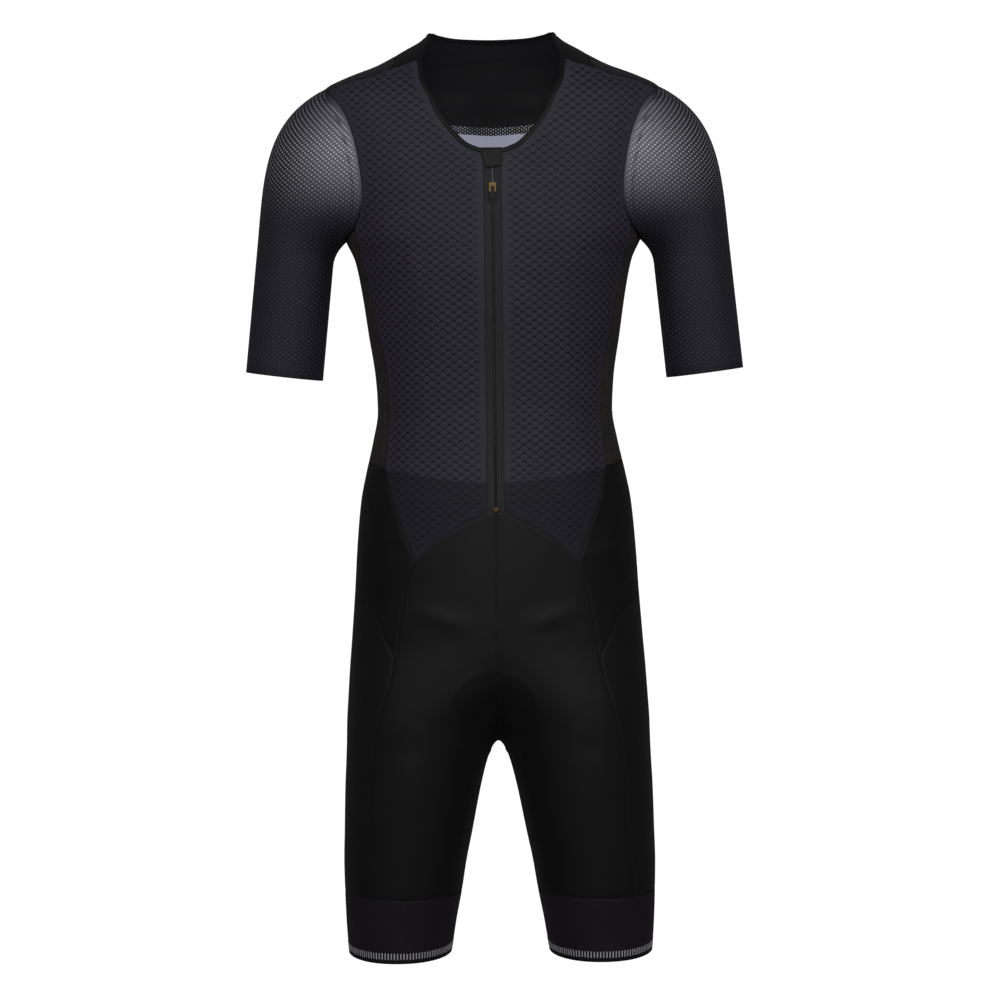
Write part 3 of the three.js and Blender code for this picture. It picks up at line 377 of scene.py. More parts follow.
def lay_on_body(paths, side):
    """Places, normals and flat coordinates of a panel in the left half, mirrored with
    side -1. The flat coordinates are millimetres round from the centre front, and height."""
    turn, z = paths[..., 0], paths[..., 1]
    places, normals = body_point(turn, z, side)
    flat = np.stack([girth(turn, z, -90) * side, z], axis=-1)
    mirror = np.array([side, 1, 1])
    return places * mirror, normals * mirror, flat


def object_from(name, vertices, faces, flat=None, inner_from=None):
    mesh = bpy.data.meshes.new(name)
    mesh.from_pydata((np.asarray(vertices) * MM).tolist(), [], faces)
    if flat is not None:
        layer = mesh.uv_layers.new(name="flat")
        layer.data.foreach_set("uv", (np.asarray(flat) * MM).ravel())
    if inner_from is not None:
        index = np.zeros(len(mesh.polygons), dtype=np.int32)
        index[inner_from[0]:inner_from[1]] = 1
        mesh.polygons.foreach_set("material_index", index)
    mesh.polygons.foreach_set("use_smooth", np.ones(len(mesh.polygons), dtype=bool))
    mesh.set_sharp_from_angle(angle=math.radians(52))
    mesh.update()
    piece = bpy.data.objects.new(name, mesh)
    bpy.context.collection.objects.link(piece)
    return piece


def shell(name, places, normals, flat, lift=0.0, wall=WALL, wrap=False, keep=1):
    """A closed wall of cloth on a grid. Its outer face is raised by lift, its inner face
    keeps every keep-th line, and wrap joins the last column to the first."""
    rows, columns = places.shape[:2]
    row_at = np.unique(np.append(np.arange(0, rows, keep), rows - 1))
    col_at = np.unique(np.append(np.arange(0, columns, keep), columns - 1))
    outer = places + normals * (np.zeros((rows, columns)) + lift)[..., None]
    inner = (places - normals * wall)[np.ix_(row_at, col_at)]
    first_inner = rows * columns
    inner_flat = flat[np.ix_(row_at, np.append(col_at, columns) if wrap else col_at)]

    def face_grid(row_count, column_count, base, coordinates, order):
        j, i = np.meshgrid(np.arange(row_count - 1),
                           np.arange(column_count if wrap else column_count - 1), indexing="ij")
        ids = [base + (j + dj) * column_count + (i + di) % column_count for dj, di in order]
        spots = [coordinates[j + dj, i + di] for dj, di in order]
        return (np.stack(ids, -1).reshape(-1, 4).tolist(), np.stack(spots, -2).reshape(-1, 2))

    outward = np.cross(outer[0, 1] - outer[0, 0], outer[1, 0] - outer[0, 0]) @ normals[0, 0] > 0
    turning = ((0, 0), (0, 1), (1, 1), (1, 0))
    facing_in = ((0, 0), (1, 0), (1, 1), (0, 1))
    faces, corners = face_grid(rows, columns, 0, flat, turning if outward else facing_in)
    lining, lining_corners = face_grid(len(row_at), len(col_at), first_inner, inner_flat,
                                       facing_in if outward else turning)
    outside = len(faces)
    faces = faces + lining
    corners = [corners, lining_corners]

    def strip(outer_run, inner_run, turned):
        run = outer_run if turned == outward else outer_run[::-1]
        ends = inner_run[::-1] if turned == outward else inner_run
        faces.append([j * columns + i % columns for j, i in run]
                     + [first_inner + j * len(col_at) + i % len(col_at) for j, i in ends])
        corners.append(np.array([flat[j, i] for j, i in run]
                                + [inner_flat[j, i] for j, i in ends]))

    cols = list(col_at) + [columns] if wrap else list(col_at)
    for c, (a, b) in enumerate(zip(cols[:-1], cols[1:])):
        strip([(0, i) for i in range(a, b + 1)], [(0, c), (0, c + 1)], False)
        strip([(rows - 1, i) for i in range(a, b + 1)],
              [(len(row_at) - 1, c), (len(row_at) - 1, c + 1)], True)
    if not wrap:
        for r, (a, b) in enumerate(zip(row_at[:-1], row_at[1:])):
            strip([(j, 0) for j in range(a, b + 1)], [(r, 0), (r + 1, 0)], True)
            strip([(j, columns - 1) for j in range(a, b + 1)],
                  [(r, len(col_at) - 1), (r + 1, len(col_at) - 1)], False)
    return object_from(name, np.concatenate([outer.reshape(-1, 3), inner.reshape(-1, 3)]), faces,
                       np.concatenate(corners), (outside, outside + len(lining)))


def linear(hex_colour):
    """Linear RGBA of an sRGB hex colour."""
    parts = [int(hex_colour[i:i + 2], 16) / 255 for i in (1, 3, 5)]
    return [c / 12.92 if c <= 0.04045 else ((c + 0.055) / 1.055) ** 2.4 for c in parts] + [1.0]


def add(tree, kind, inputs=None, **settings):
    """A node with its settings. An input is a value, or the socket that feeds it."""
    made = tree.nodes.new(kind)
    for key, value in settings.items():
        setattr(made, key, value)
    for key, value in (inputs or {}).items():
        if isinstance(value, bpy.types.NodeSocket):
            tree.links.new(value, made.inputs[key])
        else:
            made.inputs[key].default_value = value
    return made


def mixed(tree, share, low, high):
    """Colour between two colours or colour sockets."""
    return add(tree, "ShaderNodeMix", {0: share, 6: low, 7: high}, data_type="RGBA").outputs[2]


def maths(tree, operation, *values):
    return add(tree, "ShaderNodeMath", dict(enumerate(values)), operation=operation).outputs[0]


def cloth(name, roughness, sheen, sheen_colour, specular=0.35):
    """A material with its tree, its surface shader and the two flat coordinates in mm."""
    material = bpy.data.materials.new(name)
    material.use_nodes = True
    tree = material.node_tree
    tree.nodes.clear()
    surface = add(tree, "ShaderNodeBsdfPrincipled", {
        "Roughness": roughness, "Specular IOR Level": specular, "Sheen Weight": sheen,
        "Sheen Roughness": 0.45, "Sheen Tint": linear(sheen_colour)})
    add(tree, "ShaderNodeOutputMaterial", {"Surface": surface.outputs[0]})
    flat = add(tree, "ShaderNodeVectorMath", {0: add(tree, "ShaderNodeUVMap", uv_map="flat")
               .outputs[0], "Scale": 1 / MM}, operation="SCALE").outputs[0]
    parts = add(tree, "ShaderNodeSeparateXYZ", {0: flat})
    return material, tree, surface, parts.outputs[0], parts.outputs[1], flat


def knit(tree, u, v, wale, course):
    """Height of a fine knit, 0 to 1: columns of loops with wale and course spacing in mm."""
    columns = maths(tree, "SINE", maths(tree, "MULTIPLY", u, 2 * math.pi / wale))
    lean = maths(tree, "MULTIPLY", columns, 0.9)
    rows = maths(tree, "SINE", maths(tree, "ADD", maths(
        tree, "MULTIPLY", v, 2 * math.pi / course), lean))
    both = maths(tree, "MULTIPLY", maths(tree, "ADD", columns, 1.0),
                 maths(tree, "ADD", rows, 1.0))
    return maths(tree, "MULTIPLY", both, 0.25)


def clouds(tree, flat, size, detail=2.0):
    """Soft patches of about that size in mm, 0 to 1."""
    return add(tree, "ShaderNodeTexNoise", {"Vector": flat, "Scale": 1 / size, "Detail": detail,
               "Roughness": 0.55}).outputs[0]


def bumped(tree, surface, height, distance, strength=1.0):
    bump = add(tree, "ShaderNodeBump", {"Height": height, "Distance": distance * MM,
               "Strength": strength})
    tree.links.new(bump.outputs[0], surface.inputs["Normal"])


# The knit's raised diamonds: width and height of one, depth of the lines between them.
DIAMOND_WIDE, DIAMOND_TALL = 11.2, 8.0
LINE_DEPTH, LINE_WIDTH = 0.34, 0.95
LINE_SPACING = 1 / math.hypot(1 / DIAMOND_WIDE, 1 / DIAMOND_TALL)
DASH_HALF_WIDE, DASH_HALF_TALL = 2.3, 0.85
PLAIN_MARGIN = 6.0
RELIEF_STEP = 1.05


def diamond_relief(flat):
    """Height of the diamonds under the cloth's general surface, in mm."""
    u, v = flat[..., 0] / DIAMOND_WIDE, flat[..., 1] / DIAMOND_TALL
    lines = []
    for phase in (u + v, u - v):
        distance = np.abs(phase - np.round(phase)) * LINE_SPACING
        lines.append(np.exp(-((distance / LINE_WIDTH) ** 2)))
    return -LINE_DEPTH * np.maximum(*lines) - 0.25 * lines[0] * lines[1]


# Polyester warp knit, sublimation printed: matt, with a faint violet sheen at a glance.
def relief_knit_material():
    material, tree, surface, u, v, flat = cloth("relief_knit", 0.6, 0.08, "#a9a2c4", 0.2)
    plain = add(tree, "ShaderNodeAttribute", attribute_name="plain").outputs["Fac"]
    low_tone = add(tree, "ShaderNodeAttribute", attribute_name="low_tone").outputs["Fac"]
    offsets = []
    across = maths(tree, "DIVIDE", u, DIAMOND_WIDE)
    up = maths(tree, "DIVIDE", v, DIAMOND_TALL)
    for operation in ("ADD", "SUBTRACT"):
        phase = maths(tree, operation, across, up)
        offsets.append(maths(tree, "SUBTRACT", phase, maths(tree, "ROUND", phase)))
    near = [maths(tree, "MULTIPLY", maths(tree, "ABSOLUTE", offset), LINE_SPACING)
            for offset in offsets]
    # Painted shade: the lines between the diamonds, and short dashes where they cross, are
    # painted dark in the relief's grooves.
    lines = add(tree, "ShaderNodeMapRange", {0: maths(tree, "MINIMUM", *near), 1: 0.15, 2: 1.0,
                                             3: 1.0, 4: 0.0}).outputs[0]
    dash = [maths(tree, "POWER", maths(tree, "MULTIPLY", maths(tree, operation, *offsets),
                                       size / 2 / half), 2.0)
            for operation, size, half in (("ADD", DIAMOND_WIDE, DASH_HALF_WIDE),
                                          ("SUBTRACT", DIAMOND_TALL, DASH_HALF_TALL))]
    dots = add(tree, "ShaderNodeMapRange", {0: maths(tree, "ADD", *dash), 1: 0.5, 2: 1.6,
                                            3: 1.0, 4: 0.0}).outputs[0]
    showing = maths(tree, "SUBTRACT", 1.0, plain)
    tone = clouds(tree, flat, 60)
    base = mixed(tree, tone, linear("#37343f"), linear("#45414d"))
    base = mixed(tree, low_tone, base, linear("#27252f"))
    speckle = clouds(tree, flat, 1.3, 3.0)
    base = mixed(tree, maths(tree, "MULTIPLY", speckle, 0.5), base, linear("#24222b"))
    groove_shaded = mixed(tree, maths(tree, "MULTIPLY", maths(tree, "MULTIPLY", lines, 0.55), showing),
                  base, linear("#17151d"))
    final = mixed(tree, maths(tree, "MULTIPLY", maths(tree, "MULTIPLY", dots, 0.8), showing),
                  groove_shaded, linear("#0f0d14"))
    tree.links.new(final, surface.inputs["Base Color"])
    bumped(tree, surface, knit(tree, u, v, 1.1, 0.9), 0.12, 0.6)
    return material


# The unprinted inner face of a printed cloth: pale lavender grey, with the knit's ribs. A glow
# above 0 is painted light, standing in for light let through the cloth.
def printed_inside_material(name, painted_glow):
    material, tree, surface, u, v, flat = cloth(name, 0.8, 0.15, "#ffffff")
    # Painted light: an even glow of the given strength, though the cloth is no lamp.
    surface.inputs["Emission Color"].default_value = linear("#d4d6f0")
    surface.inputs["Emission Strength"].default_value = painted_glow
    ribs = knit(tree, u, v, 1.6, 1.3)
    tree.links.new(mixed(tree, ribs, linear("#c4c8dc"), linear("#eceefa")),
                   surface.inputs["Base Color"])
    bumped(tree, surface, ribs, 0.2, 0.7)
    return material


relief_knit = relief_knit_material()
printed_inside = printed_inside_material("printed_inside", 0.0)


def dress(piece, replaced, slot_name, *materials):
    """Gives a piece its materials and its body, and hides the node that it stands for. slot_name,
    its finish, is not used.
    """
    for material in materials:
        piece.data.materials.append(material)
    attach(piece, "suit")
    if replaced:
        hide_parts(replaced)
    return piece


def store(piece, name, values):
    """Keeps one value for each vertex, for the piece's material. The inner face gets 0."""
    attribute = piece.data.attributes.new(name, "FLOAT", "POINT")
    whole = np.zeros(len(piece.data.vertices))
    whole[:values.size] = values.ravel()
    attribute.data.foreach_set("value", whole)


SIDES = (("L", 1), ("R", -1))
TONE_LINE_Z, TONE_LINE_DROP = -404.5, -11
for label, side in SIDES:
    paths = patch(front_arch, run_on((yoke_inner, 3), (yoke_outer, 4)),
                  run_on((zip_edge, 15), (neck_front, 7)),
                  run_on((backward(side_front_lower), 4), (backward(side_front_upper), 10),
                         (armhole_part(AT_SIDE_FRONT, AT_FRONT_YOKE), 8)),
                  RELIEF_STEP, RELIEF_STEP)
    places, normals, flat = lay_on_body(paths, side)
    from_edge = edge_distance(places)
    plain = np.clip(1.6 - from_edge / PLAIN_MARGIN, 0, 1)
    tone_z = TONE_LINE_Z + TONE_LINE_DROP * (1 - np.clip(np.abs(places[..., 0]) / 95, 0, 1) ** 2)
    low_tone = np.clip((tone_z - places[..., 2]) / 3 + 0.5, 0, 1)
    relief = diamond_relief(flat) * (1 - plain) * (1 - 0.45 * low_tone)
    panel = shell(f"front_cloth_{label}", places, normals, flat, relief + seam_dip(from_edge),
                  keep=5)
    store(panel, "plain", plain)
    store(panel, "low_tone", low_tone)
    dress(panel, f"front_panel_{label}", "relief_knit", relief_knit, printed_inside)


# Shoulder pieces
# Two small pieces on each side cross the top of the shoulder: smooth black stretch
# knit beside the neck, and a charcoal knit with raised slanting ribs beside the sleeve.
def stretch_knit_material(name, dark, light):
    """Polyamide and elastane warp knit, brushed by calender rolls: close and slightly silky."""
    material, tree, surface, u, v, flat = cloth(name, 0.52, 0.06, "#b9b6ae", 0.22)
    loops = knit(tree, u, v, 1.0, 0.8)
    tone = mixed(tree, clouds(tree, flat, 45), linear(dark), linear(light))
    shaded = mixed(tree, maths(tree, "MULTIPLY", loops, 0.35), tone, linear("#050506"))
    tree.links.new(shaded, surface.inputs["Base Color"])
    rough = add(tree, "ShaderNodeMapRange", {0: clouds(tree, flat, 12), 3: 0.46, 4: 0.6})
    tree.links.new(rough.outputs[0], surface.inputs["Roughness"])
    bumped(tree, surface, loops, 0.08, 0.6)
    return material


# The slanting ribs are a jacquard knit: matt, with painted light on each rib and painted shade
# beside it.
RIB_PITCH, RIB_SLANT = 2.2, 0.55


def ribbed_knit_material():
    material, tree, surface, u, v, flat = cloth("ribbed_knit", 0.62, 0.1, "#a7a7ad", 0.2)
    slanting = maths(tree, "ADD", u, maths(tree, "MULTIPLY", v, RIB_SLANT))
    wave = maths(tree, "SINE", maths(tree, "MULTIPLY", slanting, 2 * math.pi / RIB_PITCH))
    rib = maths(tree, "MULTIPLY_ADD", wave, 0.5, 0.5)
    # Painted light and shade: rib tops lighter, troughs darker, broken up by soft patches.
    ends = maths(tree, "MULTIPLY", rib, clouds(tree, flat, 2.0))
    tree.links.new(mixed(tree, ends, linear("#15141a"), linear("#3c3a45")),
                   surface.inputs["Base Color"])
    bumped(tree, surface, rib, 0.3, 0.8)
    return material


smooth_knit = stretch_knit_material("smooth_knit", "#141415", "#1b1b1c")
ribbed_knit = ribbed_knit_material()
SHOULDER_STEP = 2.0
neck_shoulder = seam(front_place(*YOKE_CORNER), (-42, 7), (-26, 16.5), (-8, 22),
                     (SHOULDER_TURN, 24))
divider = seam(front_place(DIVIDER_X, -14.5), (-30, -4), (-8, 2.4), (SHOULDER_TURN, 2))
shoulder_inner = seam((SHOULDER_TURN, 24), (SHOULDER_TURN, 2))
shoulder_outer = seam((SHOULDER_TURN, 2), tuple(armhole(AT_SHOULDER_SEAM)))


def run_flat(places):
    """Flat coordinates of a grid: millimetres run along its rows and up its columns."""
    return np.stack([along(places, 1), along(places, 0)], axis=-1)


for label, side in SIDES:
    for name, low, high, start, end, slot_name, material, flat_size in (
        ("shoulder_inner", yoke_inner, shoulder_inner, neck_shoulder, divider,
         "smooth_stretch", smooth_knit, (38, 80, 2600)),
        ("shoulder_outer", yoke_outer, shoulder_outer, divider,
         armhole_part(AT_FRONT_YOKE, AT_SHOULDER_SEAM), "ribbed_stretch", ribbed_knit,
         (78, 81, 5340)),
    ):
        places, normals, _ = lay_on_body(
            patch(low, high, start, end, SHOULDER_STEP, SHOULDER_STEP), side)
        piece = shell(f"{name}_cloth_{label}", places, normals, run_flat(places),
                      seam_dip(edge_distance(places)))
        dress(piece, f"{name}_{label}", slot_name, material, material)
        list(flat_size)


# Back yoke, mesh band and back panel
# The yoke is smooth black knit. Under it runs a narrow band of open mesh, and below
# that one printed mesh panel reaches the waist. Only their insides show in the neck.
def open_mesh_material(name, ground, light, pitch, share):
    """Polyester eyelet mesh: a knitted ground with rows of small holes. The holes are painted,
    not cut: their colour stands in for the light and shade seen through them.
    """
    material, tree, surface, u, v, flat = cloth(name, 0.7, 0.08, "#b0aaa6", 0.2)
    column = maths(tree, "DIVIDE", u, pitch)
    offset = maths(tree, "MULTIPLY", maths(tree, "PINGPONG", maths(tree, "FLOOR", column), 1.0),
                   0.5)
    row = maths(tree, "ADD", maths(tree, "DIVIDE", v, pitch * 1.25), offset)
    to_column = maths(tree, "SUBTRACT", maths(tree, "FRACT", column), 0.5)
    to_row = maths(tree, "SUBTRACT", maths(tree, "FRACT", row), 0.5)
    away = maths(tree, "SQRT", maths(tree, "ADD", maths(tree, "MULTIPLY", to_column, to_column),
                                     maths(tree, "MULTIPLY", to_row, to_row)))
    hole = add(tree, "ShaderNodeMapRange", {0: away, 1: 0.2, 2: 0.36, 3: 1.0, 4: 0.0}).outputs[0]
    # Painted light and shade: each hole takes the colour given for what shows through it.
    painted_through_holes = maths(tree, "MULTIPLY", hole, maths(tree, "MULTIPLY", clouds(tree, flat, 30), share))
    tree.links.new(mixed(tree, painted_through_holes, linear(ground), linear(light)),
                   surface.inputs["Base Color"])
    bumped(tree, surface, maths(tree, "SUBTRACT", 1.0, hole), 0.35, 0.7)
    return material


# The side and band meshes get pale holes, painted light let through them; the back panel's dark
# holes are painted shade.
side_mesh = open_mesh_material("side_mesh", "#19191c", "#8a7d74", 2.0, 0.7)
band_mesh = open_mesh_material("band_mesh", "#202023", "#f4f4fa", 2.4, 1.7)
back_mesh = open_mesh_material("back_mesh", "#25242c", "#121117", 2.6, 1.4)
# The pale inner face of the back panel glows with painted light, standing in for light let
# through the open mesh.
back_inside = printed_inside_material("back_inside", 0.13)
BACK_STEP = 3.0


def back_centre(z):
    return float(centre_turn(z)), z


neck_back = seam((SHOULDER_TURN, 24), (36, 22.6), (60, 20.6), back_centre(19.6))
yoke_hem = seam(tuple(armhole(AT_SHOULDER_SEAM)), (30, -31), (45, -36), (60, -41), (70, -47),
                (78, -59), back_centre(-63))
back_top = seam(tuple(armhole(AT_MESH_BAND)), (31, -38), (45, -44), (60, -49), (70, -55),
                (78, -67), back_centre(-71))
BACK_WAIST_Z = -388
side_back_upper = seam(tuple(armhole(AT_SIDE_BACK)), (27, -212), (33, -259), (38, -306),
                       (41, -354), (43, WAIST_SIDE_Z))
back_waist = seam((43, WAIST_SIDE_Z), (66, -394), back_centre(BACK_WAIST_Z))


def other_side(edge):
    """The same edge on the right half, where the angle goes on past the centre back."""
    mirrored = lambda t: edge(t) * np.array([-1, 1]) + np.array([180, 0])
    mirrored.joints = edge.joints
    return mirrored


def across_back(edge):
    return run_on((edge, 1), (backward(other_side(edge)), 1))


def lay_on_back(paths):
    turn, z = paths[..., 0], paths[..., 1]
    side = np.where(turn > 90, -1.0, 1.0)
    left_turn = np.where(turn > 90, 180 - turn, turn)
    places, normals = body_point(left_turn, z, 1)
    flat = np.stack([-girth(left_turn, z, 90) * side, z], axis=-1)
    mirror = np.stack([side, np.ones_like(side), np.ones_like(side)], axis=-1)
    return places * mirror, normals * mirror, flat


yoke_knit = stretch_knit_material("yoke_knit", "#222223", "#2a2a2b")
for name, low, high, end, slot_name, outside, inside, flat_size in (
    ("back_yoke", yoke_hem, neck_back, backward(run_on((shoulder_inner, 3), (shoulder_outer, 4))),
     "smooth_stretch", smooth_knit, yoke_knit, (339, 82, 21400)),
    ("back_mesh_band", back_top, yoke_hem,
     backward(armhole_part(AT_SHOULDER_SEAM, AT_MESH_BAND)), "side_mesh", band_mesh, band_mesh,
     (340, 11, 3200)),
    ("back_panel", back_waist, back_top,
     backward(run_on((armhole_part(AT_MESH_BAND, AT_SIDE_BACK), 8), (side_back_upper, 10))),
     "back_mesh", back_mesh, back_inside, (330, 346, 77700)),
):
    places, normals, flat = lay_on_back(patch(across_back(low), across_back(high), end,
                                              other_side(end), BACK_STEP, BACK_STEP))
    piece = shell(f"{name}_cloth", places, normals, flat, seam_dip(edge_distance(places)))
    dress(piece, name, slot_name, outside, inside)
    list(flat_size)


# Side panels
# One strip of black open mesh under each arm, from the armpit to the waist.
side_waist = seam((-33.5, WAIST_SIDE_Z), (5, -398), (43, WAIST_SIDE_Z))
for label, side in SIDES:
    paths = patch(side_waist, armhole_part(AT_SIDE_FRONT, 360 + AT_SIDE_BACK),
                  backward(side_front_upper), backward(side_back_upper), 3.0, 3.0)
    places, normals, flat = lay_on_body(paths, side)
    piece = shell(f"side_panel_cloth_{label}", places, normals, flat,
                  seam_dip(edge_distance(places)))
    dress(piece, f"side_panel_{label}", "side_mesh", side_mesh, side_mesh)


# Sleeves
# One piece each of a knit with staggered raised dots, printed from pale grey at the
# front of the shoulder to midnight blue. It is bonded flat at the armhole and cut bare
# at the cuff.
BICEP = {"x": 197, "y": 6, "z": -196, "half_x": 38.5, "half_y": 50, "lean": 12}
CUFF = {"x": 209.3, "y": 8, "z": -313, "half_x": 38.5, "half_y": 45, "lean": 7}
CAP_SHARE = 0.56
# How the cap leaves the armhole: downward slope, and its handles as shares of its length.
ARMPIT_SLOPE, TOP_SLOPE = -1.4, -0.5
ARMPIT_HANDLE, TOP_HANDLE, END_HANDLE = 0.16, 0.4, 0.42
ARM_SQUARENESS = 2.15
DOT_COLUMN, DOT_ROW = 2.9, 4.4


def arm_ring(ring, angle):
    turn = np.radians(angle)
    across = ring["half_x"] * signed_power(np.cos(turn), 2 / ARM_SQUARENESS)
    y = ring["y"] - ring["half_y"] * signed_power(np.sin(turn), 2 / ARM_SQUARENESS)
    lean = math.radians(ring["lean"])
    return np.stack([ring["x"] + across * math.cos(lean), y,
                     ring["z"] + across * math.sin(lean)], axis=-1)


def sleeve_point(angle, share):
    """A place of the left sleeve. angle is the armhole's, share runs from it to the cuff."""
    angle, share = np.broadcast_arrays(np.asarray(angle, float), np.asarray(share, float))
    hole = armhole(angle)
    start, _ = body_point(hole[..., 0], hole[..., 1])
    bicep, cuff = arm_ring(BICEP, angle), arm_ring(CUFF, angle)
    down = (cuff - bicep) / np.linalg.norm(cuff - bicep, axis=-1, keepdims=True)
    outness = (np.cos(np.radians(angle)) + 1) / 2
    slope = ARMPIT_SLOPE + (TOP_SLOPE - ARMPIT_SLOPE) * outness
    leave = np.stack([np.ones_like(slope), np.zeros_like(slope), slope], axis=-1)
    leave /= np.linalg.norm(leave, axis=-1, keepdims=True)
    reach = np.linalg.norm(bicep - start, axis=-1, keepdims=True)
    handle = reach * (ARMPIT_HANDLE + (TOP_HANDLE - ARMPIT_HANDLE) * outness)[..., None]
    first, second = start + leave * handle, bicep - down * reach * END_HANDLE
    t = np.clip(share / CAP_SHARE, 0, 1)[..., None]
    cap = ((1 - t) ** 3 * start + 3 * (1 - t) ** 2 * t * first + 3 * (1 - t) * t**2 * second
           + t**3 * bicep)
    tube_share = np.clip((share - CAP_SHARE) / (1 - CAP_SHARE), 0, 1)[..., None]
    return np.where((share > CAP_SHARE)[..., None], bicep + (cuff - bicep) * tube_share, cap)


def dot_knit_material():
    """Polyester dot knit, printed. The raised dots are lighter: partly less ink, partly a painted
    highlight where they catch the light.
    """
    material, tree, surface, u, v, flat = cloth("dot_knit", 0.62, 0.08, "#b4b4c8", 0.2)
    fade = add(tree, "ShaderNodeAttribute", attribute_name="fade").outputs["Fac"]
    plain = add(tree, "ShaderNodeAttribute", attribute_name="plain").outputs["Fac"]
    column = maths(tree, "DIVIDE", u, DOT_COLUMN)
    offset = maths(tree, "MULTIPLY", maths(tree, "PINGPONG", maths(tree, "FLOOR", column), 1.0),
                   0.5)
    row = maths(tree, "ADD", maths(tree, "DIVIDE", v, DOT_ROW), offset)
    across = maths(tree, "MULTIPLY", maths(tree, "SUBTRACT", maths(tree, "FRACT", column), 0.5),
                   DOT_COLUMN)
    up = maths(tree, "MULTIPLY", maths(tree, "SUBTRACT", maths(tree, "FRACT", row), 0.5), DOT_ROW)
    away = maths(tree, "SQRT", maths(tree, "ADD", maths(tree, "MULTIPLY", across, across),
                                     maths(tree, "MULTIPLY", up, up)))
    dot = add(tree, "ShaderNodeMapRange", {0: away, 1: 0.4, 2: 1.1, 3: 1.0, 4: 0.0}).outputs[0]
    dot = maths(tree, "MULTIPLY", dot, maths(tree, "SUBTRACT", 1.0, plain))
    ground = mixed(tree, clouds(tree, flat, 50), linear("#201f28"), linear("#2a2933"))
    facing = add(tree, "ShaderNodeAttribute", attribute_name="facing").outputs["Fac"]
    light = maths(tree, "MULTIPLY", fade, facing)
    ground = mixed(tree, light, ground, linear("#787781"))
    # The dots are painted lighter: less ink, and a painted highlight on them.
    dot_ink_and_highlight = maths(tree, "MULTIPLY", fade, maths(tree, "MULTIPLY_ADD", facing, 0.4, 0.6))
    dots = mixed(tree, dot_ink_and_highlight, linear("#464551"), linear("#f0f0f4"))
    printed = mixed(tree, dot, ground, dots)
    groove = add(tree, "ShaderNodeAttribute", attribute_name="groove").outputs["Fac"]
    tree.links.new(mixed(tree, maths(tree, "MULTIPLY", groove, 0.75), printed,
                         linear("#1c1b22")), surface.inputs["Base Color"])
    bumped(tree, surface, maths(tree, "ADD", dot, maths(tree, "MULTIPLY", knit(
        tree, u, v, 1.1, 0.9), 0.3)), 0.35, 0.7)
    return material


dot_knit = dot_knit_material()
SLEEVE_AROUND, SLEEVE_DOWN = 132, 84
# The knit runs round the arm's outer edge with this radius, then flat to the armhole.
SLEEVE_EDGE_RADIUS = 42
# The light patch: heights between which the print fades in, distances in from the arm's outer
# edge over which the patch grows from dark to full, and its shade towards the shoulder.
FADE_LOW_Z, FADE_HIGH_Z = -166, -88
FADE_OUTSIDE, FADE_INSIDE = 8, 76
SHOULDER_SHADE_Z, SHOULDER_SHADE = -34, 50
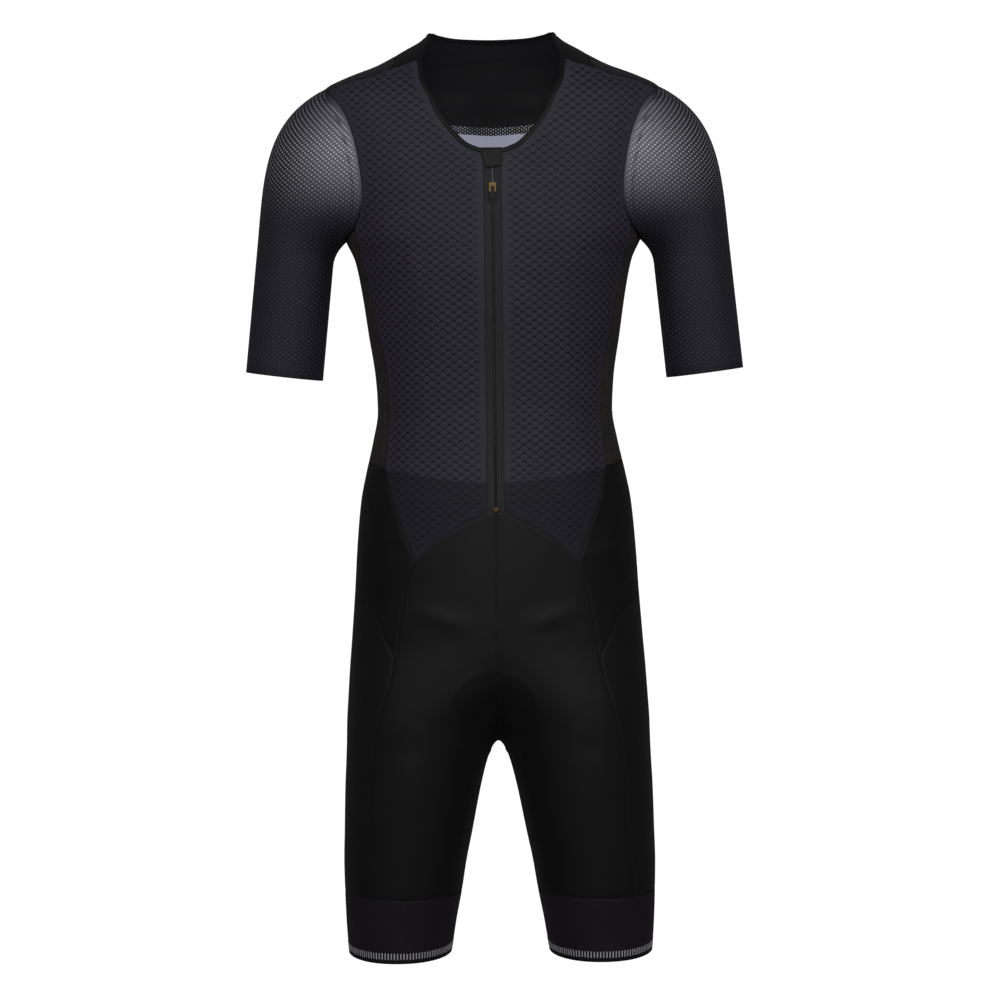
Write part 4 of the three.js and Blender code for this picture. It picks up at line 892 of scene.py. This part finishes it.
# A dark stitched groove leaves the armhole at the shoulder and runs down beside it.
GROOVE_NEAR, GROOVE_FAR, GROOVE_HALF, GROOVE_DEPTH = 3, 15, 0.8, 0.35
CUFF_MARGIN = 6.0
for label, side in SIDES:
    angles = 180 - np.linspace(0, 360, SLEEVE_AROUND, endpoint=False)
    near_armhole = NEAR_EDGE / 230
    shares = np.concatenate([[0], near_armhole,
                             np.linspace(near_armhole[-1], 1, SLEEVE_DOWN)[1:]])
    angle, share = np.meshgrid(angles, shares)
    places = sleeve_point(angle, share)
    step = 0.004
    round_way = sleeve_point(angle + 0.5, share) - sleeve_point(angle - 0.5, share)
    down_way = (sleeve_point(angle, np.minimum(share + step, 1))
                - sleeve_point(angle, np.maximum(share - step, 0)))
    normals = np.cross(round_way, down_way)
    normals /= np.linalg.norm(normals, axis=-1, keepdims=True)
    hole = armhole(angles)
    normals[0] = body_point(hole[:, 0], hole[:, 1])[1]
    for line, torso_share in zip(range(1, 5), (0.75, 0.5, 0.3, 0.12)):
        normals[line] = normals[line] * (1 - torso_share) + normals[0] * torso_share
    normals /= np.linalg.norm(normals, axis=-1, keepdims=True)
    down_run = along(places, 0)
    closed = np.concatenate([places, places[:, :1]], axis=1)
    outer_line = np.argmin(np.abs(angles))
    outer_z = -places[:, outer_line, 2]
    inward = np.maximum(np.interp(-closed[..., 2], outer_z, places[:, outer_line, 0])
                        - closed[..., 0], 0)
    round_the_edge = SLEEVE_EDGE_RADIUS * np.arccos(
        1 - np.minimum(inward, SLEEVE_EDGE_RADIUS) / SLEEVE_EDGE_RADIUS)
    run = round_the_edge + np.maximum(inward - SLEEVE_EDGE_RADIUS, 0)
    way = np.where(np.append(angles, -180) > 0, 1, -1)
    fall = np.interp(-closed[..., 2], outer_z, down_run[:, outer_line])
    flat = np.stack([run * way, fall], axis=-1)
    cuff_distance = down_run[-1:] - down_run
    plain = np.clip(1.5 - cuff_distance / CUFF_MARGIN, 0, 1) + np.clip(1.8 - down_run / 2.5, 0, 1)
    height = np.clip((places[..., 2] - FADE_LOW_Z) / (FADE_HIGH_Z - FADE_LOW_Z), 0, 1)
    facing = np.clip((inward[:, :-1] - FADE_OUTSIDE) / (FADE_INSIDE - FADE_OUTSIDE), 0, 1)
    shade = np.clip((SHOULDER_SHADE_Z - places[..., 2]) / SHOULDER_SHADE, 0, 1)
    fade = height**2 * (3 - 2 * height) * (0.45 + 0.55 * shade)
    down_the_front = np.clip(angle / AT_SIDE_FRONT, 0, 1)
    groove_at = GROOVE_NEAR + (GROOVE_FAR - GROOVE_NEAR) * down_the_front
    groove = np.exp(-(((down_run - groove_at) / GROOVE_HALF) ** 2)) * (angle > 0)
    mirror = np.array([side, 1, 1])
    piece = shell(f"sleeve_cloth_{label}", places * mirror, normals * mirror,
                  flat, seam_dip(down_run) - GROOVE_DEPTH * groove, wrap=True)
    store(piece, "groove", groove)
    store(piece, "fade", fade)
    store(piece, "facing", facing**2 * (3 - 2 * facing))
    store(piece, "plain", np.clip(plain, 0, 1))
    dress(piece, f"sleeve_{label}", "dot_mesh", dot_knit, printed_inside)


# Hip panels, side thighs and shorts
# Smooth black stretch knit, four pieces to a side, joined by flat seams: the hip panel
# ends in a curve, below it the side thigh runs to the gripper, and the front and back
# of the shorts meet in a centre seam and on the inside of the leg.
hip_knit = stretch_knit_material("hip_knit", "#101011", "#171718")
SHORTS_STEP = 3.0
HIP_FRONT = front_place(100.5, -588)
HIP_BACK = (50, -508)
hip_curve = seam(HIP_FRONT, (-45.5, -572), (-34.7, -547), (-18, -533), (2, -525), (26, -516),
                 HIP_BACK)
hip_front = seam(ARCH_SIDE, front_place(89, -523), front_place(95, -557), HIP_FRONT)
hip_back = seam((43, WAIST_SIDE_Z), (46, -455), HIP_BACK)
thigh_front = seam(HIP_FRONT, front_place(109.5, -625), front_place(119.5, -665),
                   front_place(125, -710), front_place(127.5, -755), front_place(131.5, -794),
                   front_place(135.5, GRIPPER_SEAM_Z))
thigh_back = seam(HIP_BACK, (54, -570), (60, -640), (62, -710), (60, GRIPPER_SEAM_Z))
FRONT_END, BACK_END = float(thigh_front(1.0)[0]), 60


def centre_seam(top_z, hip_z, hip_rows, sign):
    """The centre seam from the waist to the crotch, then the inside of the leg."""
    def part(z_at):
        edge = lambda t: np.stack([sign * centre_turn(z_at(t)), z_at(t)], axis=-1)
        edge.joints = ()
        return edge
    return run_on(
        (part(lambda t: top_z + (hip_z - top_z) * np.asarray(t)), hip_rows),
        (part(lambda t: hip_z + (CROTCH_Z - hip_z) * np.sin(np.radians(90 * np.asarray(t)))), 5),
        (part(lambda t: CROTCH_Z + (GRIPPER_SEAM_Z - CROTCH_Z) * np.asarray(t) ** 1.4), 6))


def gripper_seam(low, high):
    return seam((low, GRIPPER_SEAM_Z), (high, GRIPPER_SEAM_Z))


centre_front = centre_seam(ZIP_BOTTOM_Z, -560, 3, -1)
centre_back = centre_seam(BACK_WAIST_Z, -528, 7, 1)
front_top = run_on((seam(tuple(centre_front(0.0)), tuple(front_arch(0.0))), 1), (front_arch, 7))

# The pad inside shows through the cloth as a soft round line at the front.
PAD_LINE_X, PAD_LINE_Z, PAD_LINE_RADIUS, PAD_LINE_HALF, PAD_LINE_RISE = -4, -645, 44.5, 2.6, 0.7


def pad_line(places):
    away = np.hypot(places[..., 0] - PAD_LINE_X, places[..., 2] - PAD_LINE_Z) - PAD_LINE_RADIUS
    front = places[..., 1] < 0
    return PAD_LINE_RISE * np.exp(-((away / PAD_LINE_HALF) ** 2)) * front


for label, side in SIDES:
    for name, low, high, start, end, material, flat_size in (
        ("hip_panel", hip_curve, side_waist,
         backward(run_on((side_front_lower, 4), (hip_front, 3))), backward(hip_back), hip_knit,
         (212, 179, 22800)),
        ("side_thigh", gripper_seam(FRONT_END, BACK_END), hip_curve,
         backward(thigh_front), backward(thigh_back), smooth_knit, (258, 301, 48700)),
        ("shorts_front", gripper_seam(-180, FRONT_END), front_top, backward(centre_front),
         backward(run_on((hip_front, 3), (thigh_front, 11))), smooth_knit,
         (221, 361, 42800)),
        ("shorts_back", gripper_seam(180, BACK_END), backward(back_waist), backward(centre_back),
         backward(run_on((hip_back, 7), (thigh_back, 11))), smooth_knit,
         (222, 414, 49400)),
    ):
        places, normals, flat = lay_on_body(
            patch(low, high, start, end, SHORTS_STEP, SHORTS_STEP), side)
        lift = seam_dip(edge_distance(places))
        if name == "shorts_front":
            lift = lift + pad_line(places)
        piece = shell(f"{name}_cloth_{label}", places, normals, flat, lift, keep=2)
        dress(piece, f"{name}_{label}", "smooth_stretch", material, smooth_knit)
        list(flat_size)


# Leg bands
# A wide knitted elastic in dark plum black grips the leg. Just above its cut edge runs
# a row of short light ticks, woven in, which Geometry Nodes set round the hem.
BAND_WALL, BAND_GIRTH_Z = 1.5, -850.0
HEM_FRONT_DROP, BARE_EDGE = 3, 3.0
TICK_PITCH, TICK_WIDE, TICK_TALL, TICK_THICK, TICK_ABOVE_HEM = 3.1, 1.15, 6.6, 0.35, 7.6


def line_of_things(name, primitive, settings):
    """A tree that sets one small solid again and again along a line. The line's points
    carry the cloth's outward way in up. Inputs: pitch, size, slant, sideways and height."""
    tree = bpy.data.node_groups.new(name, "GeometryNodeTree")
    face = tree.interface
    face.new_socket("Line", in_out="INPUT", socket_type="NodeSocketGeometry")
    for label, kind in (("Pitch", "NodeSocketFloat"), ("Size", "NodeSocketVector"),
                        ("Slant", "NodeSocketFloat"), ("Sideways", "NodeSocketFloat"),
                        ("Height", "NodeSocketFloat"), ("Unevenness", "NodeSocketFloat"),
                        ("Material", "NodeSocketMaterial")):
        face.new_socket(label, in_out="INPUT", socket_type=kind)
    face.new_socket("Things", in_out="OUTPUT", socket_type="NodeSocketGeometry")
    given = add(tree, "NodeGroupInput")
    line = add(tree, "GeometryNodeMeshToCurve", {0: given.outputs["Line"]})
    evenly = add(tree, "GeometryNodeResampleCurve", {
        "Curve": line.outputs[0], "Length": given.outputs["Pitch"]}, mode="LENGTH")
    up = add(tree, "GeometryNodeInputNamedAttribute", {"Name": "up"}, data_type="FLOAT_VECTOR")
    way = add(tree, "GeometryNodeInputTangent")
    square = add(tree, "FunctionNodeAxesToRotation", {
        0: up.outputs[0], 1: way.outputs[0]}, primary_axis="Z", secondary_axis="X")
    slant = add(tree, "ShaderNodeCombineXYZ", {2: given.outputs["Slant"]})
    turned = add(tree, "FunctionNodeRotateRotation", {
        0: square.outputs[0], 1: slant.outputs[0]}, rotation_space="LOCAL")
    shape = add(tree, primitive, settings)
    uneven = add(tree, "FunctionNodeRandomValue", {
        "Min": 1.0, "Max": given.outputs["Unevenness"], "Seed": 7}, data_type="FLOAT")
    random_size = [out for out in uneven.outputs if out.enabled][0]
    size = add(tree, "ShaderNodeVectorMath", {0: given.outputs["Size"], "Scale": random_size},
               operation="SCALE")
    things = add(tree, "GeometryNodeInstanceOnPoints", {
        "Points": evenly.outputs[0], "Instance": shape.outputs["Mesh"],
        "Rotation": turned.outputs[0], "Scale": size.outputs[0]})
    aside = add(tree, "ShaderNodeCombineXYZ", {
        1: given.outputs["Sideways"], 2: given.outputs["Height"]})
    moved = add(tree, "GeometryNodeTranslateInstances", {
        "Instances": things.outputs[0], "Translation": aside.outputs[0]})
    real = add(tree, "GeometryNodeRealizeInstances", {0: moved.outputs[0]})
    flat_faces = add(tree, "GeometryNodeSetShadeSmooth", {
        "Geometry": real.outputs[0], "Shade Smooth": primitive.endswith("UVSphere")})
    dressed = add(tree, "GeometryNodeSetMaterial", {
        "Geometry": flat_faces.outputs[0], "Material": given.outputs["Material"]})
    add(tree, "NodeGroupOutput", {0: dressed.outputs[0]})
    return tree


def things_on(name, tree, lines, material, **inputs):
    """A plain mesh of what a tree makes on lines of (places, outward ways) in mm."""
    vertices, edges, ups = [], [], []
    for places, ways in lines:
        first = len(vertices)
        vertices += (places * MM).tolist()
        ups += ways.tolist()
        edges += [(first + i, first + i + 1) for i in range(len(places) - 1)]
    mesh = bpy.data.meshes.new(name)
    mesh.from_pydata(vertices, edges, [])
    mesh.attributes.new("up", "FLOAT_VECTOR", "POINT").data.foreach_set(
        "vector", np.array(ups).ravel())
    holder = bpy.data.objects.new(name, mesh)
    bpy.context.collection.objects.link(holder)
    modifier = holder.modifiers.new(name, "NODES")
    modifier.node_group = tree
    sockets = {item.name: item.identifier for item in tree.interface.items_tree
               if item.in_out == "INPUT"}
    for label, value in {**inputs, "Material": material}.items():
        modifier[sockets[label]] = value
    evaluated = holder.evaluated_get(bpy.context.evaluated_depsgraph_get())
    made = bpy.data.meshes.new_from_object(evaluated)
    holder.modifiers.remove(modifier)
    holder.data = made
    made.name = name
    return holder


TICK_TREE = line_of_things("ticks_along_a_line", "GeometryNodeMeshCube", {"Size": (1, 1, 1)})


def plain_material(name, colour, roughness, size, depth, metallic=0.0, coat=0.0):
    """A small solid part or thread: one colour with a little unevenness of its own."""
    material = bpy.data.materials.new(name)
    material.use_nodes = True
    tree = material.node_tree
    tree.nodes.clear()
    surface = add(tree, "ShaderNodeBsdfPrincipled", {
        "Roughness": roughness, "Metallic": metallic, "Coat Weight": coat})
    add(tree, "ShaderNodeOutputMaterial", {"Surface": surface.outputs[0]})
    spot = add(tree, "ShaderNodeVectorMath", {
        0: add(tree, "ShaderNodeTexCoord").outputs["Object"], "Scale": 1 / MM},
        operation="SCALE").outputs[0]
    patches = clouds(tree, spot, size, 3.0)
    tree.links.new(mixed(tree, patches, [c * 0.72 for c in linear(colour)[:3]] + [1.0],
                         linear(colour)), surface.inputs["Base Color"])
    bumped(tree, surface, patches, depth, 0.5)
    return material


def gripper_material():
    """Knitted elastic, printed plum black: fine upright ribs, a darker bare edge below."""
    material, tree, surface, u, v, flat = cloth("gripper_elastic", 0.6, 0.08, "#b3a6b3", 0.2)
    ribs = knit(tree, u, v, 1.3, 1.0)
    edge = add(tree, "ShaderNodeAttribute", attribute_name="edge").outputs["Fac"]
    tone = mixed(tree, clouds(tree, flat, 30), linear("#1b171d"), linear("#242027"))
    tone = mixed(tree, maths(tree, "MULTIPLY", ribs, 0.4), tone, linear("#0e0b10"))
    tree.links.new(mixed(tree, edge, tone, linear("#0f0d11")), surface.inputs["Base Color"])
    bumped(tree, surface, ribs, 0.18, 0.7)
    return material


gripper = gripper_material()
tick_thread = plain_material("tick_thread", "#c9c7cc", 0.6, 1.0, 0.1)
for label, side in SIDES:
    turns = np.linspace(-180, 180, 150, endpoint=False)
    levels = np.concatenate([[0, 0.012, 0.03, 0.06], np.linspace(0.1, 0.93, 24),
                             [0.955, 0.975, 0.989, 1]])
    turn, level = np.meshgrid(turns, levels)
    z = HEM_Z + (GRIPPER_SEAM_Z - HEM_Z) * level
    z = z + HEM_FRONT_DROP * (1 - level) * np.sin(np.radians(turn))
    places, normals, flat = lay_on_body(np.stack([turn, z], axis=-1), side)
    all_round = side * girth(np.array(180.0), BAND_GIRTH_Z, -180)
    flat = np.concatenate([flat, flat[:, :1] + [[[all_round, 0]]]], axis=1)
    from_seam = along(places, 0)[-1:] - along(places, 0)
    piece = shell(f"leg_band_cloth_{label}", places, normals, flat, seam_dip(from_seam),
                  wall=BAND_WALL, wrap=True)
    store(piece, "edge", np.clip(1.5 - along(places, 0) / BARE_EDGE, 0, 1))
    dress(piece, f"leg_band_{label}", "gripper_elastic", gripper, gripper)

    hem_turn = np.linspace(-180, 180, 240)
    hem_z = (HEM_Z + TICK_ABOVE_HEM) + HEM_FRONT_DROP * np.sin(np.radians(hem_turn))
    hem, ways = body_point(hem_turn, hem_z, side)
    mirror = np.array([side, 1, 1])
    ticks = things_on(f"hem_ticks_{label}", TICK_TREE, [(hem * mirror, ways * mirror)],
                      tick_thread, Pitch=TICK_PITCH * MM,
                      Size=(TICK_WIDE * MM, TICK_TALL * MM, TICK_THICK * MM), Slant=0.0,
                      Sideways=0.0, Height=0.0, Unevenness=0.92)
    dress(ticks, None, "gripper_elastic")


# Neck binding and zip garage
# A narrow strip of smooth knit folded over the neck edge, and at the front a short tab
# of the same cloth that covers the top of the zip.
BINDING_WIDTH, BINDING_RISE, BINDING_WALL = 4.1, 0.35, 1.5
neck_left = run_on((neck_front, 7), (neck_shoulder, 4), (neck_back, 7))
shares = np.linspace(0, 1, 150)
left_places, left_normals = body_point(*neck_left(shares).T)
RIGHT = np.array([-1, 1, 1])
loop = np.concatenate([left_places, (left_places * RIGHT)[::-1][1:]])
loop_normals = np.concatenate([left_normals, (left_normals * RIGHT)[::-1][1:]])
way = np.gradient(loop, axis=0)
inward = np.cross(loop_normals, way)
inward /= np.linalg.norm(inward, axis=1, keepdims=True)
across = np.array([-0.6, 0.0, 0.7, 1.5, 2.3, 3.1, 3.7, BINDING_WIDTH])
lift = np.array([-0.3, 0.1, 0.34, 0.42, 0.42, 0.34, 0.1, -0.35]) + BINDING_RISE * 0.5
places = loop[None] + inward[None] * across[:, None, None]
normals = np.broadcast_to(loop_normals[None], places.shape)
piece = shell("neck_binding_cloth", places, normals, run_flat(places), lift[:, None],
              wall=BINDING_WALL)
dress(piece, "neck_binding", "smooth_stretch", smooth_knit, smooth_knit)

GARAGE = {"left": 12.4, "right": 9.2, "top": -94.5, "bottom": -112, "rise": 2.2}
# Its left edge leans in by the taper and its lower edge falls to the left by the slant.
GARAGE_TAPER, GARAGE_SLANT = 6.0, -2.5
# Upright folds, as shares across from the left and their depths, and the turned edge.
GARAGE_FOLDS, FOLD_SHARE = ((0.22, 0.45), (0.5, 0.3), (0.8, 0.4)), 0.07
GARAGE_EDGE_DROP, GARAGE_EDGE_WIDTH, GARAGE_WALL_FOOT = 0.7, 0.8, 1.4
across, up = np.meshgrid(np.linspace(-GARAGE["left"], GARAGE["right"], 30),
                         np.linspace(GARAGE["bottom"], GARAGE["top"], 26))
share_across = (across + GARAGE["left"]) / (GARAGE["left"] + GARAGE["right"])
fallen = np.clip((GARAGE["top"] - up) / (GARAGE["top"] - GARAGE["bottom"]), 0, 1)
across = across + GARAGE_TAPER * fallen * (1 - share_across)
up = up + GARAGE_SLANT * fallen * (1 - share_across)
places, normals = body_point(-turn_at(np.abs(across), up), up)
mirror = np.stack([np.where(across < 0, -1, 1), np.ones_like(up), np.ones_like(up)], axis=-1)
places, normals = places * mirror, normals * mirror
rounding = -GARAGE_EDGE_DROP * np.exp(-((edge_distance(places) / GARAGE_EDGE_WIDTH) ** 2))
for share, depth in GARAGE_FOLDS:
    away = (share_across - share) / FOLD_SHARE
    rounding = rounding - depth * fallen * np.exp(-(away**2))
piece = shell("zip_garage_cloth", places, normals, run_flat(places),
              GARAGE["rise"] + rounding, wall=-GARAGE["rise"] + GARAGE_WALL_FOOT)
dress(piece, "zip_garage", "smooth_stretch", smooth_knit, smooth_knit)


# Zip
# A coil zip between two folds of woven polyester tape, whose black nylon teeth show only
# as a fine dark line. A small brass slider carries a black lacquered pull, and a brass
# stop closes the bottom.
TAPE_EDGE_X, TAPE_WALL, TAPE_STEP, TAPE_END = 0.12, 1.1, 2.0, 0.2


def tape_material():
    """Woven polyester tape: a fine herringbone of black yarn."""
    material, tree, surface, u, v, flat = cloth("zip_tape_weave", 0.5, 0.2, "#b9b9c0")
    zigzag = maths(tree, "PINGPONG", u, 1.2)
    twill = maths(tree, "SINE", maths(tree, "MULTIPLY", maths(tree, "ADD", v, zigzag),
                                      2 * math.pi / 0.9))
    weave = maths(tree, "MULTIPLY_ADD", twill, 0.5, 0.5)
    tree.links.new(mixed(tree, weave, linear("#141417"), linear("#2b2b31")),
                   surface.inputs["Base Color"])
    bumped(tree, surface, weave, 0.15, 0.8)
    return material


zip_weave = tape_material()
black_nylon = plain_material("black_nylon", "#0c0c0e", 0.55, 1.5, 0.02)
brass = plain_material("brass", "#5f4c2c", 0.42, 2.0, 0.02, metallic=1.0)
black_lacquer = plain_material("black_lacquer", "#0b0b0d", 0.7, 4.0, 0.01)
FOLD_X = np.array([ZIP_EDGE_X, 8.0, 7.2, 6.2, 4.9, 3.4, 1.9, 0.9, TAPE_EDGE_X])
FOLD_LIFT = np.array([-0.6, 0.25, 0.55, 0.35, 0.0, -0.1, -0.3, -0.6, -0.7])
for label, side in SIDES:
    z = np.arange(ZIP_BOTTOM_Z + TAPE_END, ZIP_TOP_Z - TAPE_END, TAPE_STEP)
    x, up = np.meshgrid(FOLD_X, z)
    places, normals = body_point(-turn_at(x, up), up)
    mirror = np.array([side, 1, 1])
    places, normals = places * mirror, normals * mirror
    piece = shell(f"zip_tape_cloth_{label}", places, normals, run_flat(places),
                  FOLD_LIFT[None], wall=TAPE_WALL)
    dress(piece, f"zip_tape_{label}", "zip_tape", zip_weave, zip_weave)

TEETH_BOTTOM_Z, TEETH_TOP_Z = ZIP_BOTTOM_Z + 5, -137.5
TOOTH_PITCH, TOOTH_SIZE, TOOTH_HEIGHT = 1.45, (0.95, 3.2, 0.9), 0.15
TOOTH_TREE = line_of_things("teeth_along_a_line", "GeometryNodeMeshUVSphere",
                            {"Segments": 8, "Rings": 6, "Radius": 0.5})
z = np.linspace(TEETH_BOTTOM_Z, TEETH_TOP_Z, 160)
places, ways = body_point(-centre_turn(z), z)
teeth = things_on("zip_coil", TOOTH_TREE, [(places, ways)], black_nylon,
                  Pitch=TOOTH_PITCH * MM, Size=tuple(v * MM for v in TOOTH_SIZE), Slant=0.12,
                  Sideways=0.0, Height=TOOTH_HEIGHT * MM, Unevenness=1.0)
dress(teeth, None, "zip_teeth")
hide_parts("zip_teeth")
for node, material in (("zip_slider", brass), ("zip_bottom_stop", brass),
                       ("zip_pull", black_lacquer)):
    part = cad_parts[node]
    part.data.materials.clear()
    part.data.materials.append(material)


# Seat pad
# A moulded foam pad sewn inside the shorts, seen only through the leg openings. Its
# node has the right shape, so it gets only its brushed microfibre finish.
pad_face = plain_material("pad_microfibre", "#202024", 0.9, 3.0, 0.4)
seat_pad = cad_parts["seat_pad"]
seat_pad.data.materials.clear()
seat_pad.data.materials.append(pad_face)


# Seams
# Every join is a flat-locked seam: two rows of black thread laced over the butted edges. Here
# each is a row of fine stitches in the dip between two panels, set along the seam by Geometry
# Nodes.
STITCH_PITCH, STITCH_SIZE, STITCH_SLANT = 1.5, (0.55, 3.0, 0.42), 0.5
SEAM_CORD_RISE, SEAM_STEP = -0.25, 1.4
STITCH_TREE = line_of_things("stitches_along_a_line", "GeometryNodeMeshUVSphere",
                             {"Segments": 6, "Rings": 4, "Radius": 0.5})
seam_thread = plain_material("seam_thread", "#0b0b0c", 0.55, 1.0, 0.05)


def seam_line(edge, side):
    """Places and outward ways along a seam, a little under the cloth's surface."""
    count = max(4, round(edge_length(edge) / SEAM_STEP))
    places, ways = body_point(*edge(np.linspace(0, 1, count)).T)
    mirror = np.array([side, 1, 1])
    return places * mirror + ways * mirror * SEAM_CORD_RISE, ways * mirror


SEAMS = (
    yoke_inner, yoke_outer, divider, run_on((shoulder_inner, 3), (shoulder_outer, 4)),
    side_front_upper, side_front_lower, side_back_upper, side_waist, front_arch, hip_curve,
    hip_front, hip_back, thigh_front, thigh_back, back_waist, yoke_hem, back_top,
    gripper_seam(-180, 180), armhole_part(-180, 180),
)
CENTRE_SEAM_LINES = [seam_line(centre_front, 1), seam_line(centre_back, 1),
                     seam_line(backward(centre_front), -1), seam_line(backward(centre_back), -1)]
for name, lines in (
    ("seam_stitches_L", [seam_line(edge, 1) for edge in SEAMS]),
    ("seam_stitches_R", [seam_line(edge, -1) for edge in SEAMS]),
    ("centre_seam_stitches", CENTRE_SEAM_LINES),
):
    stitches = things_on(name, STITCH_TREE, lines, seam_thread, Pitch=STITCH_PITCH * MM,
                         Size=tuple(v * MM for v in STITCH_SIZE), Slant=STITCH_SLANT,
                         Sideways=0.0, Height=0.0, Unevenness=0.9)
    dress(stitches, None, "smooth_stretch")



# Studio
# A round white cyclorama, so that every view has the same pale ground, with large soft
# lights in front. The camera stands where the photograph's stood.
FLOOR_Z, FLOOR_RADIUS, CURVE_RADIUS, WALL_TOP = -1.55, 4.5, 2.5, 5.5
profile = [(0.0, FLOOR_Z), (2.0, FLOOR_Z), (FLOOR_RADIUS, FLOOR_Z)]
profile += [(FLOOR_RADIUS + CURVE_RADIUS * math.sin(a),
             FLOOR_Z + CURVE_RADIUS * (1 - math.cos(a)))
            for a in np.linspace(0.1, math.pi / 2, 14)]
profile.append((FLOOR_RADIUS + CURVE_RADIUS, WALL_TOP))
spokes = 72
vertices = [(r * math.cos(2 * math.pi * k / spokes), r * math.sin(2 * math.pi * k / spokes), z)
            for r, z in profile[1:] for k in range(spokes)] + [(0, 0, FLOOR_Z)]
faces = [[j * spokes + k, j * spokes + (k + 1) % spokes, (j + 1) * spokes + (k + 1) % spokes,
          (j + 1) * spokes + k] for j in range(len(profile) - 2) for k in range(spokes)]
faces += [[len(vertices) - 1, (k + 1) % spokes, k] for k in range(spokes)]
floor_mesh = bpy.data.meshes.new("studio_floor")
floor_mesh.from_pydata(vertices, [], faces)
floor = bpy.data.objects.new("studio_floor", floor_mesh)
bpy.context.collection.objects.link(floor)
paper = bpy.data.materials.new("white_paper")
paper.use_nodes = True
paper_surface = paper.node_tree.nodes["Principled BSDF"]
paper_surface.inputs["Base Color"].default_value = (0.8, 0.8, 0.8, 1)
paper_surface.inputs["Roughness"].default_value = 0.9
paper_surface.inputs["Emission Color"].default_value = (1, 1, 1, 1)
paper_surface.inputs["Emission Strength"].default_value = 1.0
floor.data.materials.append(paper)
# The cyclorama is lit on its own and shaded from the suit, as with flags on a set.
floor.visible_diffuse = False
floor.visible_glossy = False

world = bpy.data.worlds.new("studio")
world.use_nodes = True
world.node_tree.nodes["Background"].inputs[0].default_value = (1, 1, 1, 1)
world.node_tree.nodes["Background"].inputs[1].default_value = 0.05
bpy.context.scene.world = world


def soft_light(name, place, aim, size, power):
    lamp = bpy.data.lights.new(name, "AREA")
    lamp.shape, lamp.size, lamp.energy = "SQUARE", size, power
    holder = bpy.data.objects.new(name, lamp)
    holder.location = place
    way = np.array(aim) - np.array(place)
    holder.rotation_euler = (math.acos(-way[2] / np.linalg.norm(way)), 0,
                             math.atan2(way[1], way[0]) - math.pi / 2)
    bpy.context.collection.objects.link(holder)


AIM = (0, 0, -0.45)
soft_light("key_left", (-2.2, -2.6, 1.4), AIM, 1.6, 26)
soft_light("key_right", (2.2, -2.6, 1.2), AIM, 1.6, 28)
soft_light("front_fill", (0, -3.4, 0.6), AIM, 1.2, 30)

CAMERA_PLACE, CAMERA_AIM = (0.004, -3.2, -0.27), (0.004, 0.0, -0.438)
SENSOR, FRAME_WIDTH = 36.0, 0.996
CAMERA_ROLL = math.radians(-0.6)
camera = bpy.data.cameras.new("camera")
camera.sensor_width = SENSOR
reach = math.dist(CAMERA_PLACE, CAMERA_AIM)
camera.lens = SENSOR * reach / FRAME_WIDTH
holder = bpy.data.objects.new("camera", camera)
holder.location = CAMERA_PLACE
drop = math.atan2(CAMERA_PLACE[2] - CAMERA_AIM[2], CAMERA_AIM[1] - CAMERA_PLACE[1])
holder.rotation_mode = "XYZ"
level = mathutils.Matrix.Rotation(math.pi / 2 - drop, 4, "X")
holder.rotation_euler = (level @ mathutils.Matrix.Rotation(CAMERA_ROLL, 4, "Z")).to_euler()
bpy.context.collection.objects.link(holder)
bpy.context.scene.camera = holder
bpy.context.scene.view_settings.view_transform = "Standard"
